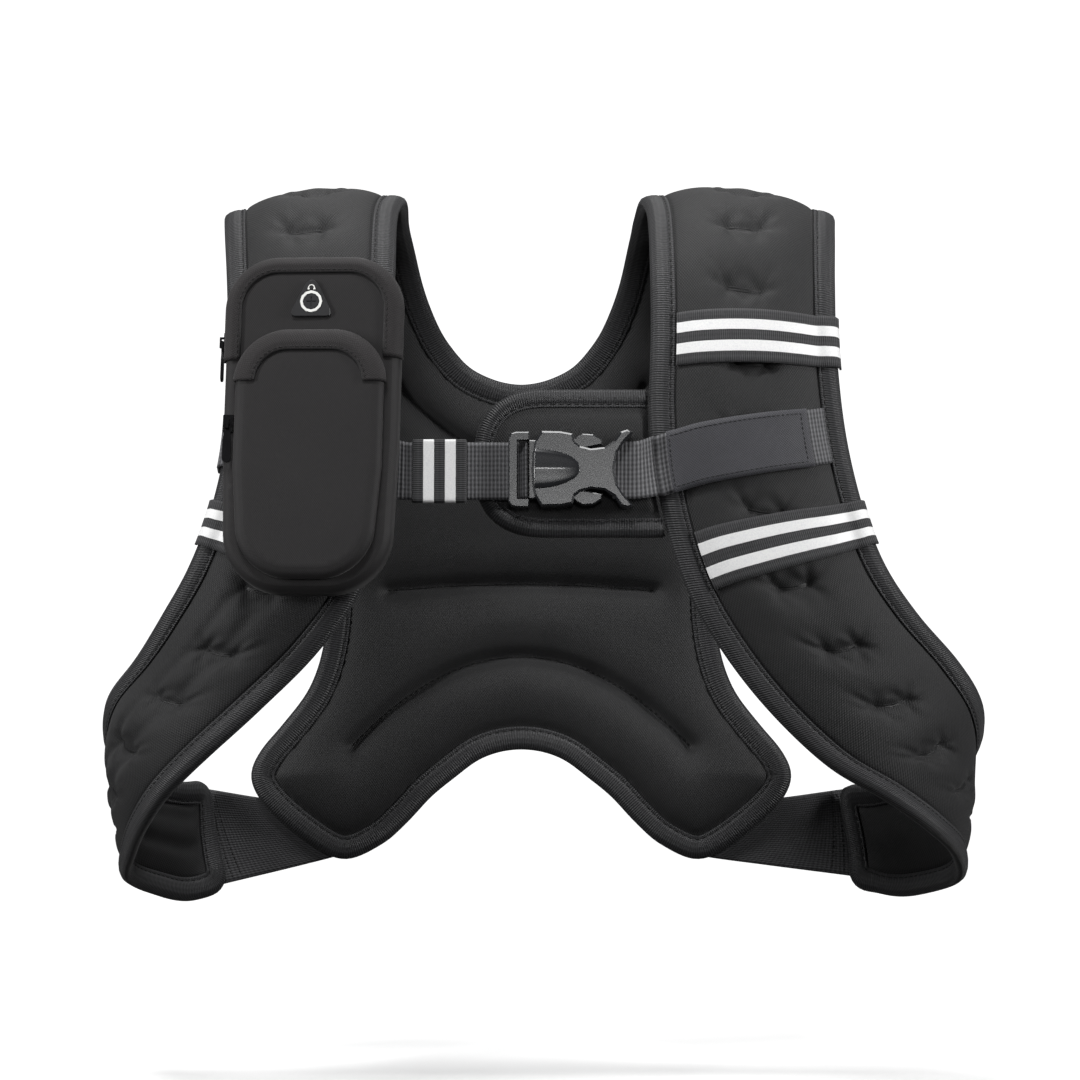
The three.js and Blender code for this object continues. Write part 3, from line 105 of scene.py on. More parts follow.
def unit(vectors: Array) -> Array:
    """Vectors scaled to length one."""
    return vectors / np.linalg.norm(vectors, axis=-1, keepdims=True)


def ease(t: Array) -> Array:
    """A smooth rise from 0 to 1 as t goes from 0 to 1."""
    t = np.clip(t, 0, 1)
    return t * t * (3 - 2 * t)


def mix(a: Array, b: Array, t: Array) -> Array:
    """Points between a and b at share t, with t one axis short of them."""
    return a + (b - a) * np.asarray(t)[..., None]


def square_to(direction: Array, normal: Array) -> Array:
    """The part of a direction that is square to a normal, at length one."""
    along = np.sum(direction * normal, axis=-1, keepdims=True)
    return unit(direction - normal * along)


def read_table(rows: Array, places: Array) -> Array:
    """Reads a short table smoothly, by cubics whose slope at a row is that of its two neighbours.

    Args:
        rows: The table, with the place of each row in its first column.
        places: Where to read it, any shape.

    Returns:
        The rows read, with the table's columns as last axis.
    """
    first = rows[:, 0]
    last = len(rows) - 1
    places = np.asarray(places, float)
    k = np.clip(np.searchsorted(first, places, side="right") - 1, 0, last - 1)
    low = np.maximum(np.arange(last + 1) - 1, 0)
    high = np.minimum(np.arange(last + 1) + 1, last)
    slope = (rows[high] - rows[low]) / (first[high] - first[low])[:, None]
    step = (first[k + 1] - first[k])[..., None]
    t = np.clip((places[..., None] - first[k][..., None]) / step, 0, 1)
    rise = rows[k + 1] - rows[k]
    m0 = slope[k] * step
    m1 = slope[k + 1] * step
    return rows[k] + m0 * t + (3 * rise - 2 * m0 - m1) * t**2 + (m0 + m1 - 2 * rise) * t**3


def through(points: Array, places: Array) -> Array:
    """A smooth curve through points at the places 0, 1, 2 and so on, read at any places between them."""
    count = len(points)
    table = np.column_stack([np.arange(count), points.reshape(count, -1)])
    found = read_table(table, places)[..., 1:]
    return found.reshape(*np.shape(places), *points.shape[1:])


def smoothed(points: Array, steps: int) -> Array:
    """A smooth curve through points, with a number of steps from each to the next."""
    return through(points, np.linspace(0, len(points) - 1, (len(points) - 1) * steps + 1))


def moved(points: Array, frame: Array) -> Array:
    """Points of a frame's own space, in the space of the vest."""
    return points @ frame[:3, :3].T + frame[:3, 3]


def lengths_of(line: Array) -> Array:
    """Length from the first point to each point of a line."""
    return np.concatenate([[0], np.cumsum(np.linalg.norm(np.diff(line, axis=0), axis=1))])


def at_lengths(line: Array, lengths: Array) -> Array:
    """Points of a line at given lengths along it."""
    reach = lengths_of(line)
    return np.stack([np.interp(lengths, reach, column) for column in line.T], axis=-1)


def even_points(line: Array, count: int) -> Array:
    """Points at even steps along a line, one more than count."""
    return at_lengths(line, np.linspace(0, lengths_of(line)[-1], count + 1))


def distance_to(points: Array, line: Array, closed: bool = False) -> Array:
    """Shortest distance from flat points to a run of flat points, a block of points at a time."""
    ends = np.vstack([line, line[:1]]) if closed else line
    a, span = ends[:-1], np.diff(ends, axis=0)
    size = np.maximum(np.sum(span**2, axis=1), 1e-12)
    found = []
    for block in np.array_split(points, max(1, len(points) * len(a) // 2_000_000)):
        away = block[:, None] - a
        t = np.clip(np.sum(away * span, axis=2) / size, 0, 1)
        found.append(np.linalg.norm(away - span * t[..., None], axis=2).min(axis=1))
    return np.concatenate(found)


def is_inside(points: Array, loops: list[Array]) -> Array:
    """Whether flat points lie inside loops, by how often a line from each crosses them."""
    inside = np.zeros(len(points), bool)
    x, y = points[:, 0], points[:, 1]
    for loop in loops:
        for (ax, ay), (bx, by) in zip(loop, np.roll(loop, -1, axis=0)):
            if ay != by:
                crossed = (ay > y) != (by > y)
                inside ^= crossed & (x < (bx - ax) * (y - ay) / (by - ay) + ax)
    return inside


def grid_normals(points: Array) -> Array:
    """Normals of a grid of points, from its steps along rows and columns."""
    return unit(np.cross(np.gradient(points, axis=0), np.gradient(points, axis=1)))


def facing(points: Array, outward: Array) -> Array:
    """Normals of a grid, on the side that a direction points to."""
    normal = grid_normals(points)
    return normal * np.sign(np.sum(normal * outward, axis=-1, keepdims=True).mean())


@dataclass
class Shell:
    """Points, faces and flat cloth places of one piece, gathered in mm before it becomes a mesh."""

    points: list[Array] = field(default_factory=list)
    faces: list[Array] = field(default_factory=list)
    flats: list[Array] = field(default_factory=list)
    size: int = 0

    def add_points(self, points: Array) -> int:
        """Adds points and gives the number of the first."""
        start = self.size
        self.points.append(points.reshape(-1, 3))
        self.size += len(self.points[-1])
        return start

    def add_faces(self, faces: Array, flat: Array) -> None:
        """Adds faces with the flat place of each of their corners."""
        self.faces.append(faces)
        self.flats.append(flat)

    def add_grid(
        self, points: Array, flat: Array, wrap_rows: bool = False, wrap_columns: bool = False
    ) -> int:
        """Adds a grid of quads, joined round where it is told to.

        Args:
            points: Grid of points, rows by columns by 3.
            flat: Flat places, with one more row or column where the grid joins round.
            wrap_rows: Whether the last row joins the first.
            wrap_columns: Whether the last column joins the first.

        Returns:
            The number of the first point.
        """
        rows, columns = points.shape[:2]
        start = self.add_points(points)
        i, j = np.meshgrid(
            np.arange(rows if wrap_rows else rows - 1),
            np.arange(columns if wrap_columns else columns - 1),
            indexing="ij",
        )
        corners = [(i, j), (i + 1, j), (i + 1, j + 1), (i, j + 1)]
        keys = [start + (a % rows) * columns + b % columns for a, b in corners]
        self.add_faces(
            np.stack(keys, -1).reshape(-1, 4),
            np.stack([flat[a, b] for a, b in corners], -2).reshape(-1, 4, 2),
        )
        return start

    def add_sheet(self, front: Array, back: Array, flat: Array) -> None:
        """Adds a closed sheet from its front and back grids, joined round all four edges."""
        ring = np.concatenate([front, back[:, ::-1]], axis=1)
        places = np.concatenate([flat, flat[:, ::-1], flat[:, :1]], axis=1)
        start = self.add_grid(ring, places, wrap_columns=True)
        rows, columns = front.shape[:2]
        j = np.arange(columns - 1)
        for row in (0, rows - 1):
            base = start + row * 2 * columns
            keys = [base + j, base + j + 1, base + 2 * columns - 2 - j, base + 2 * columns - 1 - j]
            if row:
                keys.reverse()
            self.add_faces(np.stack(keys, -1), np.repeat(flat[row, :-1, None], 4, axis=1))

    def turned_out(self) -> "Shell":
        """The same shell with its faces pointing outwards, judged by the sign of its volume."""
        points = np.concatenate(self.points)
        centre = points.mean(axis=0)
        volume = 0.0
        for faces in self.faces:
            corners = points[faces] - centre
            for k in range(1, faces.shape[1] - 1):
                cross = np.cross(corners[:, k], corners[:, k + 1])
                volume += float(np.sum(corners[:, 0] * cross))
        if volume < 0:
            self.faces = [faces[:, ::-1] for faces in self.faces]
            self.flats = [flat[:, ::-1] for flat in self.flats]
        return self

    def to_object(self, name: str) -> bpy.types.Object:
        """Makes the mesh object, in metres, with its cloth places as UV map."""
        self.turned_out()
        mesh = bpy.data.meshes.new(name)
        points = np.concatenate(self.points) * MM
        keys = np.concatenate([faces.ravel() for faces in self.faces])
        totals = np.concatenate([np.full(len(faces), faces.shape[1]) for faces in self.faces])
        mesh.vertices.add(len(points))
        mesh.vertices.foreach_set("co", points.astype(np.float32).ravel())
        mesh.loops.add(len(keys))
        mesh.loops.foreach_set("vertex_index", keys.astype(np.int32))
        mesh.polygons.add(len(totals))
        starts = np.concatenate([[0], np.cumsum(totals)[:-1]])
        mesh.polygons.foreach_set("loop_start", starts.astype(np.int32))
        mesh.polygons.foreach_set("use_smooth", np.ones(len(totals), bool))
        layer = mesh.uv_layers.new(name="cloth")
        places = np.concatenate([flat.reshape(-1, 2) for flat in self.flats])
        layer.data.foreach_set("uv", places.astype(np.float32).ravel())
        mesh.update(calc_edges=True)
        mesh.validate()
        made = bpy.data.objects.new(name, mesh)
        bpy.context.scene.collection.objects.link(made)
        return made


@dataclass
class Relief:
    """A solid over flat loops: rings of level round each loop, and a height over the front and the back.

    The outer loop runs anticlockwise and holes clockwise, seen from the front, so that the material is on the
    left of every loop. A flat place (x, z) at height h is the point (x, -h, z) of the piece's own frame.
    """

    loops: list[Array]
    levels: Array
    pitch: float
    front: Callable[[Array, Array], Array] | None = None
    back: Callable[[Array, Array], Array] | None = None

    @staticmethod
    def inset(loop: Array, amount: float) -> Array:
        """A loop moved to its left by an amount, along the normals of its corners."""
        way = unit(np.roll(loop, -1, axis=0) - np.roll(loop, 1, axis=0))
        return loop + np.stack([-way[:, 1], way[:, 0]], -1) * amount

    def fill(
        self, shell: Shell, rings: list[Array], starts: list[int], height: float,
        rise: Callable[[Array, Array], Array] | None, place: Array,
    ) -> None:
        """Fills the space between rings with triangles.

        Args:
            shell: The shell to add to.
            rings: The rings round the space.
            starts: The number of each ring's first point in the shell.
            height: Height of the rings.
            rise: Height over the rings, from the flat places and their distance to the nearest ring.
            place: The piece's own frame.
        """
        flats = np.vstack(rings)
        low, high = flats.min(axis=0), flats.max(axis=0)
        rows = np.arange(low[1], high[1], self.pitch * 0.866)
        columns = np.arange(low[0], high[0], self.pitch)
        x = columns[None] + (np.arange(len(rows)) % 2)[:, None] * self.pitch / 2
        spots = np.stack([x, np.repeat(rows[:, None], len(columns), axis=1)], -1).reshape(-1, 2)
        spots = spots[is_inside(spots, rings)]
        away = np.min([distance_to(spots, ring, True) for ring in rings], axis=0)
        spots = spots[away > self.pitch * 0.55]
        away = away[away > self.pitch * 0.55]
        everything = np.vstack([flats, spots])
        edges, base = [], 0
        for ring in rings:
            keys = base + np.arange(len(ring))
            edges += np.stack([keys, np.roll(keys, -1)], -1).tolist()
            base += len(ring)
        corners = [Vector(p) for p in everything.tolist()]
        result = delaunay_2d_cdt(corners, edges, [], 0, 1e-5)
        faces = np.array(result[2], int)
        origin = np.array([ids[0] if ids else -1 for ids in result[3]])
        faces = origin[faces]
        faces = faces[(faces >= 0).all(axis=1)]
        middle = everything[faces].mean(axis=1)
        faces = faces[is_inside(middle, rings)]
        lift = rise(spots, away) if rise else np.zeros(len(spots))
        inner = np.stack([spots[:, 0], -(height + lift), spots[:, 1]], -1)
        first = shell.add_points(moved(inner, place))
        numbers = [start + np.arange(len(ring)) for start, ring in zip(starts, rings)]
        numbers = np.concatenate([*numbers, first + np.arange(len(spots))])
        a, b, c = (everything[faces[:, k]] for k in range(3))
        turn = (b[:, 0] - a[:, 0]) * (c[:, 1] - a[:, 1]) - (b[:, 1] - a[:, 1]) * (c[:, 0] - a[:, 0])
        sense = 1 if height < self.levels[:, 1].mean() else -1
        faces = np.where((turn * sense < 0)[:, None], faces[:, ::-1], faces)
        shell.add_faces(numbers[faces], everything[faces])

    def build(self, place: Array, shell: Shell | None = None) -> Shell:
        """Builds the solid at its place.

        Args:
            place: The 4 by 4 matrix of the piece's own frame, in mm.
            shell: The shell to add to, if it isn't a new one.

        Returns:
            The shell.
        """
        shell = shell or Shell()
        lows, highs, low_starts, high_starts = [], [], [], []
        for loop in self.loops:
            rings = np.stack([self.inset(loop, amount) for amount, _ in self.levels])
            heights = np.broadcast_to(self.levels[:, 1][:, None], rings.shape[:2])
            grid = np.stack([rings[..., 0], -heights, rings[..., 1]], -1)
            run = lengths_of(np.vstack([loop, loop[:1]]))
            rise = lengths_of(self.levels)
            flat = np.stack(np.broadcast_arrays(run[None], rise[:, None]), -1)
            start = shell.add_grid(moved(grid, place), flat, wrap_columns=True)
            lows.append(rings[0])
            highs.append(rings[-1])
            low_starts.append(start)
            high_starts.append(start + (len(self.levels) - 1) * len(loop))
        self.fill(shell, highs, high_starts, self.levels[-1, 1], self.front, place)
        self.fill(shell, lows, low_starts, self.levels[0, 1], self.back, place)
        return shell


def threads(line: Array, normals: Array, pitch: float, long: float, radius: float, shell: Shell) -> None:
    """Adds a row of stitches along a line: slim capsules that rise in the middle and dive at both ends.

    Args:
        line: Points of the sewn line, in mm.
        normals: The cloth's normal at each point.
        pitch: Distance from stitch to stitch.
        long: Length of one stitch that shows.
        radius: Radius of the thread.
        shell: The shell to add to.
    """
    reach = lengths_of(line)
    middles = np.arange(pitch / 2, reach[-1], pitch)
    t = np.array([-1, -0.8, -0.3, 0.3, 0.8, 1.0])
    places = middles[:, None] + t * long / 2
    centre = at_lengths(line, places.ravel()).reshape(len(middles), len(t), 3)
    up = np.stack([np.interp(middles, reach, column) for column in normals.T], -1)
    way = unit(centre[:, -1] - centre[:, 0])
    up = square_to(up, way)
    side = np.cross(way, up)
    size = radius * np.sqrt(np.clip(1.05 - t**2, 0.05, 1))
    lift = radius * 0.8 * (1 - 1.6 * t**2)
    turn = np.arange(6) / 6 * 2 * np.pi
    across = side[:, None, None] * np.cos(turn)[:, None] + up[:, None, None] * np.sin(turn)[:, None]
    tube = (centre + up[:, None] * lift[:, None])[:, :, None] + across * size[None, :, None, None]
    start = shell.add_points(tube)
    k = (start + np.arange(len(middles)) * 36)[:, None, None]
    i, j = np.meshgrid(np.arange(5), np.arange(6), indexing="ij")
    corners = [(i, j), (i + 1, j), (i + 1, (j + 1) % 6), (i, (j + 1) % 6)]
    faces = np.stack([k + a * 6 + b for a, b in corners], -1).reshape(-1, 4)
    shell.add_faces(faces, np.zeros((len(faces), 4, 2)))
    first = k[:, 0] + np.arange(6)
    caps = np.concatenate([first[:, ::-1], first + 30])
    shell.add_faces(caps, np.zeros((len(caps), 6, 2)))


def add_cord(shell: Shell, line: Array, normals: Array, radius: float, sides: int = 8) -> None:
    """Adds a round cord along a line, closed at both ends.

    Args:
        shell: The shell to add to.
        line: Points of the cord's middle, in mm.
        normals: A direction off the cord at each point.
        radius: Radius of the cord.
        sides: Points round it.
    """
    way = unit(np.gradient(line, axis=0))
    up = square_to(normals, way)
    side = np.cross(way, up)
    turn = np.arange(sides) / sides * 2 * np.pi
    ring = side[:, None] * np.cos(turn)[:, None] + up[:, None] * np.sin(turn)[:, None]
    size = np.full(len(line), radius)
    size[[0, -1]] *= 0.45
    flat = np.zeros((len(line), sides + 1, 2))
    flat[..., 0] = lengths_of(line)[:, None]
    start = shell.add_grid(line[:, None] + ring * size[:, None, None], flat, wrap_columns=True)
    first, last = start + np.arange(sides), start + (len(line) - 1) * sides + np.arange(sides)
    shell.add_faces(np.array([first, last[::-1]]), np.zeros((2, sides, 2)))


@dataclass
class BackShape:
    """The surface of the back panel by x and the length down the back, and its bound edge."""

    profile: Array = field(default_factory=lambda: np.array([
        [0, 0.068, 0.005, -0.005, -0.026],
        [0.107, 0.158, -0.053, -0.015, -0.021],
        [0.231, 0.224, -0.158, -0.018, -0.01],
        [0.367, 0.258, -0.289, -0.024, 0],
        [0.526, 0.274, -0.447, -0.03, 0],
        [0.683, 0.271, -0.605, -0.032, 0],
        [0.842, 0.258, -0.763, -0.034, 0],
        [1.05, 0.237, -0.968, -0.036, 0],
    ]))
    neck: Array = field(default_factory=lambda: np.array([
        [0, 0.408, 0], [1, 0.401, 0.034], [2, 0.378, 0.113], [3, 0.349, 0.166], [4, 0.303, 0.216],
        [5, 0.257, 0.247], [6, 0.2, 0.274], [7, 0.138, 0.289], [8, 0.069, 0.299], [9, 0, 0.303],
    ]))
    flank: Array = field(default_factory=lambda: np.array([
        [0, 1.06, 0], [1, 1.01, 0.147], [2, 0.908, 0.271], [3, 0.816, 0.395], [4, 0.75, 0.5],
        [5, 0.718, 0.605], [6, 0.734, 0.69], [7, 0.786, 0.755], [8, 0.882, 0.808], [9, 0.954, 0.842],
        [10, 0.993, 0.868],
    ]))
    lower: Array = field(default_factory=lambda: np.array([
        [0, 0.993, 0.868], [0.5, 1, 0.89], [1, 0.965, 0.92], [2, 0.86, 0.962], [3, 0.73, 1],
        [3.6, 0.655, 1.01], [4.2, 0.585, 1.002], [5, 0.493, 0.981],
    ]))
    arch: Array = field(default_factory=lambda: np.array([
        [0, 0.493, 0.981], [1, 0.414, 0.95], [2, 0.336, 0.916], [3, 0.25, 0.888], [4, 0.164, 0.862],
        [5, 0.079, 0.849], [6, 0, 0.845],
    ]))

    def point(self, x: Array, w: Array) -> Array:
        """Point of the middle surface: the profile at that length, drawn forward towards the sides."""
        found = read_table(self.profile, np.asarray(w) / BACK_DROP)
        side = np.clip((np.abs(x) - 30) / (BACK_HALF - 30), 0, 1.1) ** 1.5
        y = (found[..., 1] + found[..., 3] * side) * BACK_DROP
        z = (found[..., 2] + found[..., 4] * side) * BACK_DROP
        return np.stack(np.broadcast_arrays(x, y, z), -1)

    def normal(self, x: Array, w: Array) -> Array:
        """Normal of the middle surface, away from the wearer, from its steps across and down."""
        across = self.point(x + 1, w) - self.point(x - 1, w)
        down = self.point(x, w + 1) - self.point(x, w - 1)
        return -unit(np.cross(down, across))

    def edge(self, rows: Array, count: int, side: int) -> Array:
        """Even points of one edge, as x and length down the back."""
        fine = read_table(rows, np.linspace(0, rows[-1, 0], 401))
        return even_points(np.stack([side * fine[:, 1] * BACK_HALF, fine[:, 2] * BACK_DROP], -1), count)

    def outer_run(self, side: int) -> Array:
        """The side, lobe and arch edges of one side as one line."""
        return np.vstack([
            self.edge(self.flank, 150, side),
            self.edge(self.lower, 80, side)[1:],
            self.edge(self.arch, 50, side)[1:],
        ])

    def stations(self, line: Array) -> "Stations":
        """Stations of the bound edge along a line of the back, each with its way in and its normal."""
        before = np.vstack([line[:1], line[:-1]])
        after = np.vstack([line[1:], line[-1:]])
        way = unit(after - before)
        inward = np.stack([way[:, 1], -way[:, 0]], -1)
        for k in (0, -1):
            if line[k, 1] < 1:
                inward[k] = [np.sign(inward[k, 0]), 0]
        flat = line + inward * TAPE_OVER
        inner = line + inward * (TAPE_OVER + FLANGE_WIDE)
        at = self.point(flat[:, 0], flat[:, 1])
        toward = unit(self.point(inner[:, 0], inner[:, 1]) - at)
        normal = square_to(self.normal(flat[:, 0], flat[:, 1]), toward)
        return Stations(at, toward, normal, flat)

    def neck_stations(self) -> "Stations":
        """The neck edge from the right shoulder seam to the left one."""
        right, left = self.edge(self.neck, 110, 1), self.edge(self.neck, 110, -1)
        return self.stations(np.vstack([right, left[:-1][::-1]]))

    def lower_stations(self) -> "Stations":
        """The outer edge from the left shoulder seam round the lower arch to the right one."""
        return self.stations(np.vstack([self.outer_run(-1), self.outer_run(1)[:-1][::-1]]))

    def lobe_stations(self, side: int) -> "Stations":
        """The edge of one lower lobe in 80 even steps, from its outer corner down."""
        line = self.edge(self.lower, 80, side)
        found = self.stations(line if side < 0 else line[::-1])
        return found if side < 0 else found.reversed()


@dataclass
class Stations:
    """Places along a bound edge: the point, the way into the cloth, the cloth's normal and the flat place."""

    at: Array
    inward: Array
    normal: Array
    flat: Array | None = None

    def reversed(self) -> "Stations":
        """The same stations in the other order."""
        flat = None if self.flat is None else self.flat[::-1]
        return Stations(self.at[::-1], self.inward[::-1], self.normal[::-1], flat)

    @staticmethod
    def joined(runs: list["Stations"]) -> "Stations":
        """Several runs as one."""
        names = ("at", "inward", "normal")
        return Stations(*[np.vstack([getattr(run, name) for run in runs]) for name in names])

    def evened(self, step: float, closed: bool) -> "Stations":
        """The same edge with stations at even steps, its kinks smoothed over a few of them."""
        names = ("at", "inward", "normal")
        parts = [getattr(self, name) for name in names]
        if closed:
            parts = [np.vstack([part, part[:1]]) for part in parts]
        reach = lengths_of(parts[0])
        count = round(reach[-1] / step)
        places = np.linspace(0, reach[-1], count + 1)[: count if closed else None]
        found = []
        for part in parts:
            line = np.stack([np.interp(places, reach, column) for column in part.T], -1)
            for _ in range(3):
                before = np.roll(line, 1, axis=0) if closed else np.vstack([line[:1], line[:-1]])
                after = np.roll(line, -1, axis=0) if closed else np.vstack([line[1:], line[-1:]])
                line = 0.25 * before + 0.5 * line + 0.25 * after
            found.append(line)
        return Stations(found[0], unit(found[1]), square_to(found[2], unit(found[1])))


@dataclass
class StrapShape:
    """The surface of one padded strap, as a function of the length along it and the share across it.

    The table gives the strap's two edges: place, then x, y, z of the inner and of the outer edge, as shares
    of the reach, the front depth and the drop.
    """

    side: int
    reach: float
    table: Array
    crease: float
    tacks: Array
    back: BackShape

    def __post_init__(self) -> None:
        """Lays the edges out along the strap's own length."""
        size = np.array([self.side * self.reach, FRONT_DEPTH, VEST_DROP] * 2)
        rows = np.column_stack([self.table[:, 0], self.table[:, 1:] * size])
        seams = [self.back.point(self.side * share * BACK_HALF, 0) for share in (0.408, 1.06)]
        rows = np.vstack([[0, *seams[0], *seams[1]], rows])
        fine = read_table(rows, np.arange(681) / 40)[:, 1:]
        self.edges = fine
        self.at_length = lengths_of((fine[:, :3] + fine[:, 3:]) / 2)
        self.total = self.at_length[-1]
        self.tail = self.total - TAPE_OVER - FLANGE_WIDE
        self.step = TACK_PITCH / 3

    def pair(self, lengths: Array) -> tuple[Array, Array]:
        """The two edge points at lengths along the strap."""
        found = np.stack([np.interp(lengths, self.at_length, column) for column in self.edges.T], -1)
        return found[..., :3], found[..., 3:]

    def stations(self, lengths: Array) -> tuple[Stations, Stations]:
        """Stations of the inner and the outer edge: the cloth's normal leans out by the edge tilt at each."""
        lengths = np.asarray(lengths, float)
        a, b = self.pair(lengths)
        before = self.pair(np.maximum(lengths - 4, 0))
        after = self.pair(np.minimum(lengths + 4, self.total))
        across = unit(b - a)
        found = []
        for k, edge in enumerate((a, b)):
            tilt = (-EDGE_TILT, EDGE_TILT)[k]
            flat = unit(np.cross(unit(after[k] - before[k]), across)) * self.side
            normal = unit(flat * np.cos(tilt) + across * np.sin(tilt))
            inward = square_to(across if k == 0 else -across, normal)
            found.append(Stations(edge + inward * TAPE_OVER, inward, normal))
        return found[0], found[1]

    def middle(self, lengths: Array, shares: Array) -> tuple[Array, Array, Array]:
        """Middle surface between the two flanges: straight across with a camber, and on the back at the seam.

        Args:
            lengths: Lengths along the strap.
            shares: Shares across it, of the same shape.

        Returns:
            Points, normals and the width between the flanges.
        """
        a, b = self.stations(lengths)
        inner_a = a.at + a.inward * FLANGE_WIDE
        inner_b = b.at + b.inward * FLANGE_WIDE
        width = np.linalg.norm(inner_b - inner_a, axis=-1)
        normal = unit(mix(a.normal, b.normal, shares))
        up = unit(a.normal + b.normal)
        rise = width * np.tan(EDGE_TILT) * shares * (1 - shares)
        at = mix(inner_a, inner_b, shares) + up * rise[..., None]
        seam = self.back.point(at[..., 0], np.zeros(at.shape[:-1]))
        near = np.clip(1 - lengths / self.step, 0, 1)
        return mix(at, seam, near), normal, width

    def full(self, lengths: Array, shares: Array) -> Array:
        """Half thickness of the strap without its tacks: round across, thin at the seam and the end."""
        shape = np.sin(np.pi * np.clip(shares, 0, 1)) ** 0.6
        start = np.sin(np.pi / 2 * np.clip(lengths / self.step, 0, 1)) ** 0.8
        end = np.sin(np.pi / 2 * np.clip((self.tail - lengths) / 15, 0, 1)) ** 0.7
        return FLANGE_HALF + (PILLOW_HALF - FLANGE_HALF) * shape * start * end

    def held(self, lengths: Array, away: Array) -> Array:
        """Share of the stuffing's height that the tacks and creases leave.

        Each tack is a short sewn bar: a wide hollow round it, a sharp line along it, a pit at each end and
        puckers that run away from the pits.

        Args:
            lengths: Lengths along the strap.
            away: Distance from the middle line, of the same shape.

        Returns:
            1 where nothing holds the cloth down, about 0 in a tack.
        """
        left = np.ones(np.shape(lengths))
        for place, offset, tilt, size in self.tacks:
            x = (away - offset) * np.cos(tilt) + (lengths - place) * np.sin(tilt)
            y = -(away - offset) * np.sin(tilt) + (lengths - place) * np.cos(tilt)
            near = (np.abs(y) < 32) & (np.abs(x) < 45)
            x, y = x[near], y[near]
            y = y + 0.018 * x**2
            past = np.maximum(np.abs(x) - 8.5, 0)
            line = np.hypot(past, y)
            ends = [np.hypot(x - way * 9, y) for way in (-1, 1)]
            bowl = 0.72 * np.exp(-((x / 16) ** 2) - (y / 10.5) ** 2)
            sharp = 0.3 * np.exp(-line / 1.5)
            pits = sum(0.5 * np.exp(-((end / 4) ** 2)) for end in ends)
            ray = np.cos(5 * np.arctan2(y, np.abs(x) - 8.5) + place)
            pucker = 0.13 * ray * np.exp(-(((line - 6) / 6) ** 2))
            dent = size * (bowl + sharp + pits + pucker)
            left[near] *= 1 - np.minimum(dent, 1.32)
        fold = self.crease * np.clip((lengths / self.step - 11) / 5, 0, 1)
        left *= 1 - fold * np.exp(-(((away + 4) / 5) ** 2))
        left *= 1 - 0.7 * fold * np.exp(-(((away - 14) / 4) ** 2))
        return left

    def half(self, lengths: Array, shares: Array, width: Array) -> Array:
        """Half thickness of the strap: stuffed, held down by tacks, with a slightly uneven filling."""
        away = (shares - 0.5) * width
        full = self.full(lengths, shares)
        slow = 0.05 * np.sin(lengths / 9.7 + away / 13) + 0.04 * np.sin(lengths / 17 - away / 7.5 + 1)
        slow = slow * np.sin(np.pi * np.clip(shares, 0, 1))
        return FLANGE_HALF + (full - FLANGE_HALF) * (self.held(lengths, away) + slow)

    def length_at(self, edge: int, z: float) -> float:
        """Length along the strap where an edge station passes a height on its way down."""
        lengths = np.arange(3 * self.step, self.tail, 0.5)
        heights = self.stations(lengths)[edge].at[:, 2]
        return float(lengths[np.argmax(heights < z)])


STRAP_RIGHT = np.array([
    [1, 0.26, 0, 0.026, 0.676, -0.019, 0],
    [2, 0.274, -0.324, 0, 0.672, -0.295, -0.027],
    [3, 0.276, -0.648, -0.076, 0.664, -0.552, -0.103],
    [4, 0.276, -0.819, -0.178, 0.664, -0.686, -0.205],
    [5, 0.272, -0.924, -0.297, 0.68, -0.771, -0.319],
    [6, 0.292, -0.981, -0.411, 0.714, -0.829, -0.422],
    [7, 0.344, -1.019, -0.53, 0.76, -0.838, -0.503],
    [8, 0.42, -1.029, -0.622, 0.832, -0.762, -0.573],
    [9, 0.52, -1.01, -0.708, 0.92, -0.61, -0.638],
    [10, 0.64, -0.952, -0.784, 0.976, -0.4, -0.692],
    [11, 0.76, -0.838, -0.832, 0.992, -0.133, -0.741],
    [12, 0.864, -0.629, -0.881, 0.976, 0.133, -0.778],
    [13, 0.934, -0.286, -0.924, 0.936, 0.381, -0.805],
    [14, 0.96, 0.143, -0.97, 0.876, 0.571, -0.827],
    [15, 0.904, 0.429, -0.995, 0.8, 0.695, -0.838],
    [16, 0.828, 0.648, -1.005, 0.76, 0.771, -0.841],
    [17, 0.716, 0.79, -0.984, 0.736, 0.819, -0.832],
])
STRAP_LEFT = np.array([
    [1, 0.276, 0, 0.026, 0.711, -0.019, 0],
    [2, 0.293, -0.324, 0, 0.702, -0.267, -0.024],
    [3, 0.293, -0.648, -0.076, 0.687, -0.514, -0.103],
    [4, 0.293, -0.819, -0.178, 0.68, -0.619, -0.2],
    [5, 0.293, -0.924, -0.297, 0.682, -0.695, -0.319],
    [6, 0.311, -0.981, -0.411, 0.711, -0.771, -0.416],
    [7, 0.36, -1.019, -0.53, 0.764, -0.781, -0.503],
    [8, 0.462, -1.029, -0.622, 0.831, -0.686, -0.573],
    [9, 0.596, -0.99, -0.703, 0.902, -0.495, -0.638],
    [10, 0.724, -0.914, -0.773, 0.972, -0.286, -0.692],
    [11, 0.818, -0.781, -0.827, 0.993, -0.038, -0.741],
    [12, 0.88, -0.571, -0.876, 0.984, 0.19, -0.778],
    [13, 0.924, -0.267, -0.92, 0.95, 0.4, -0.811],
    [14, 0.956, 0.114, -0.968, 0.9, 0.552, -0.83],
    [15, 0.898, 0.4, -0.997, 0.844, 0.648, -0.835],
    [16, 0.818, 0.629, -1.012, 0.818, 0.724, -0.835],
    [17, 0.698, 0.781, -0.989, 0.8, 0.781, -0.832],
])


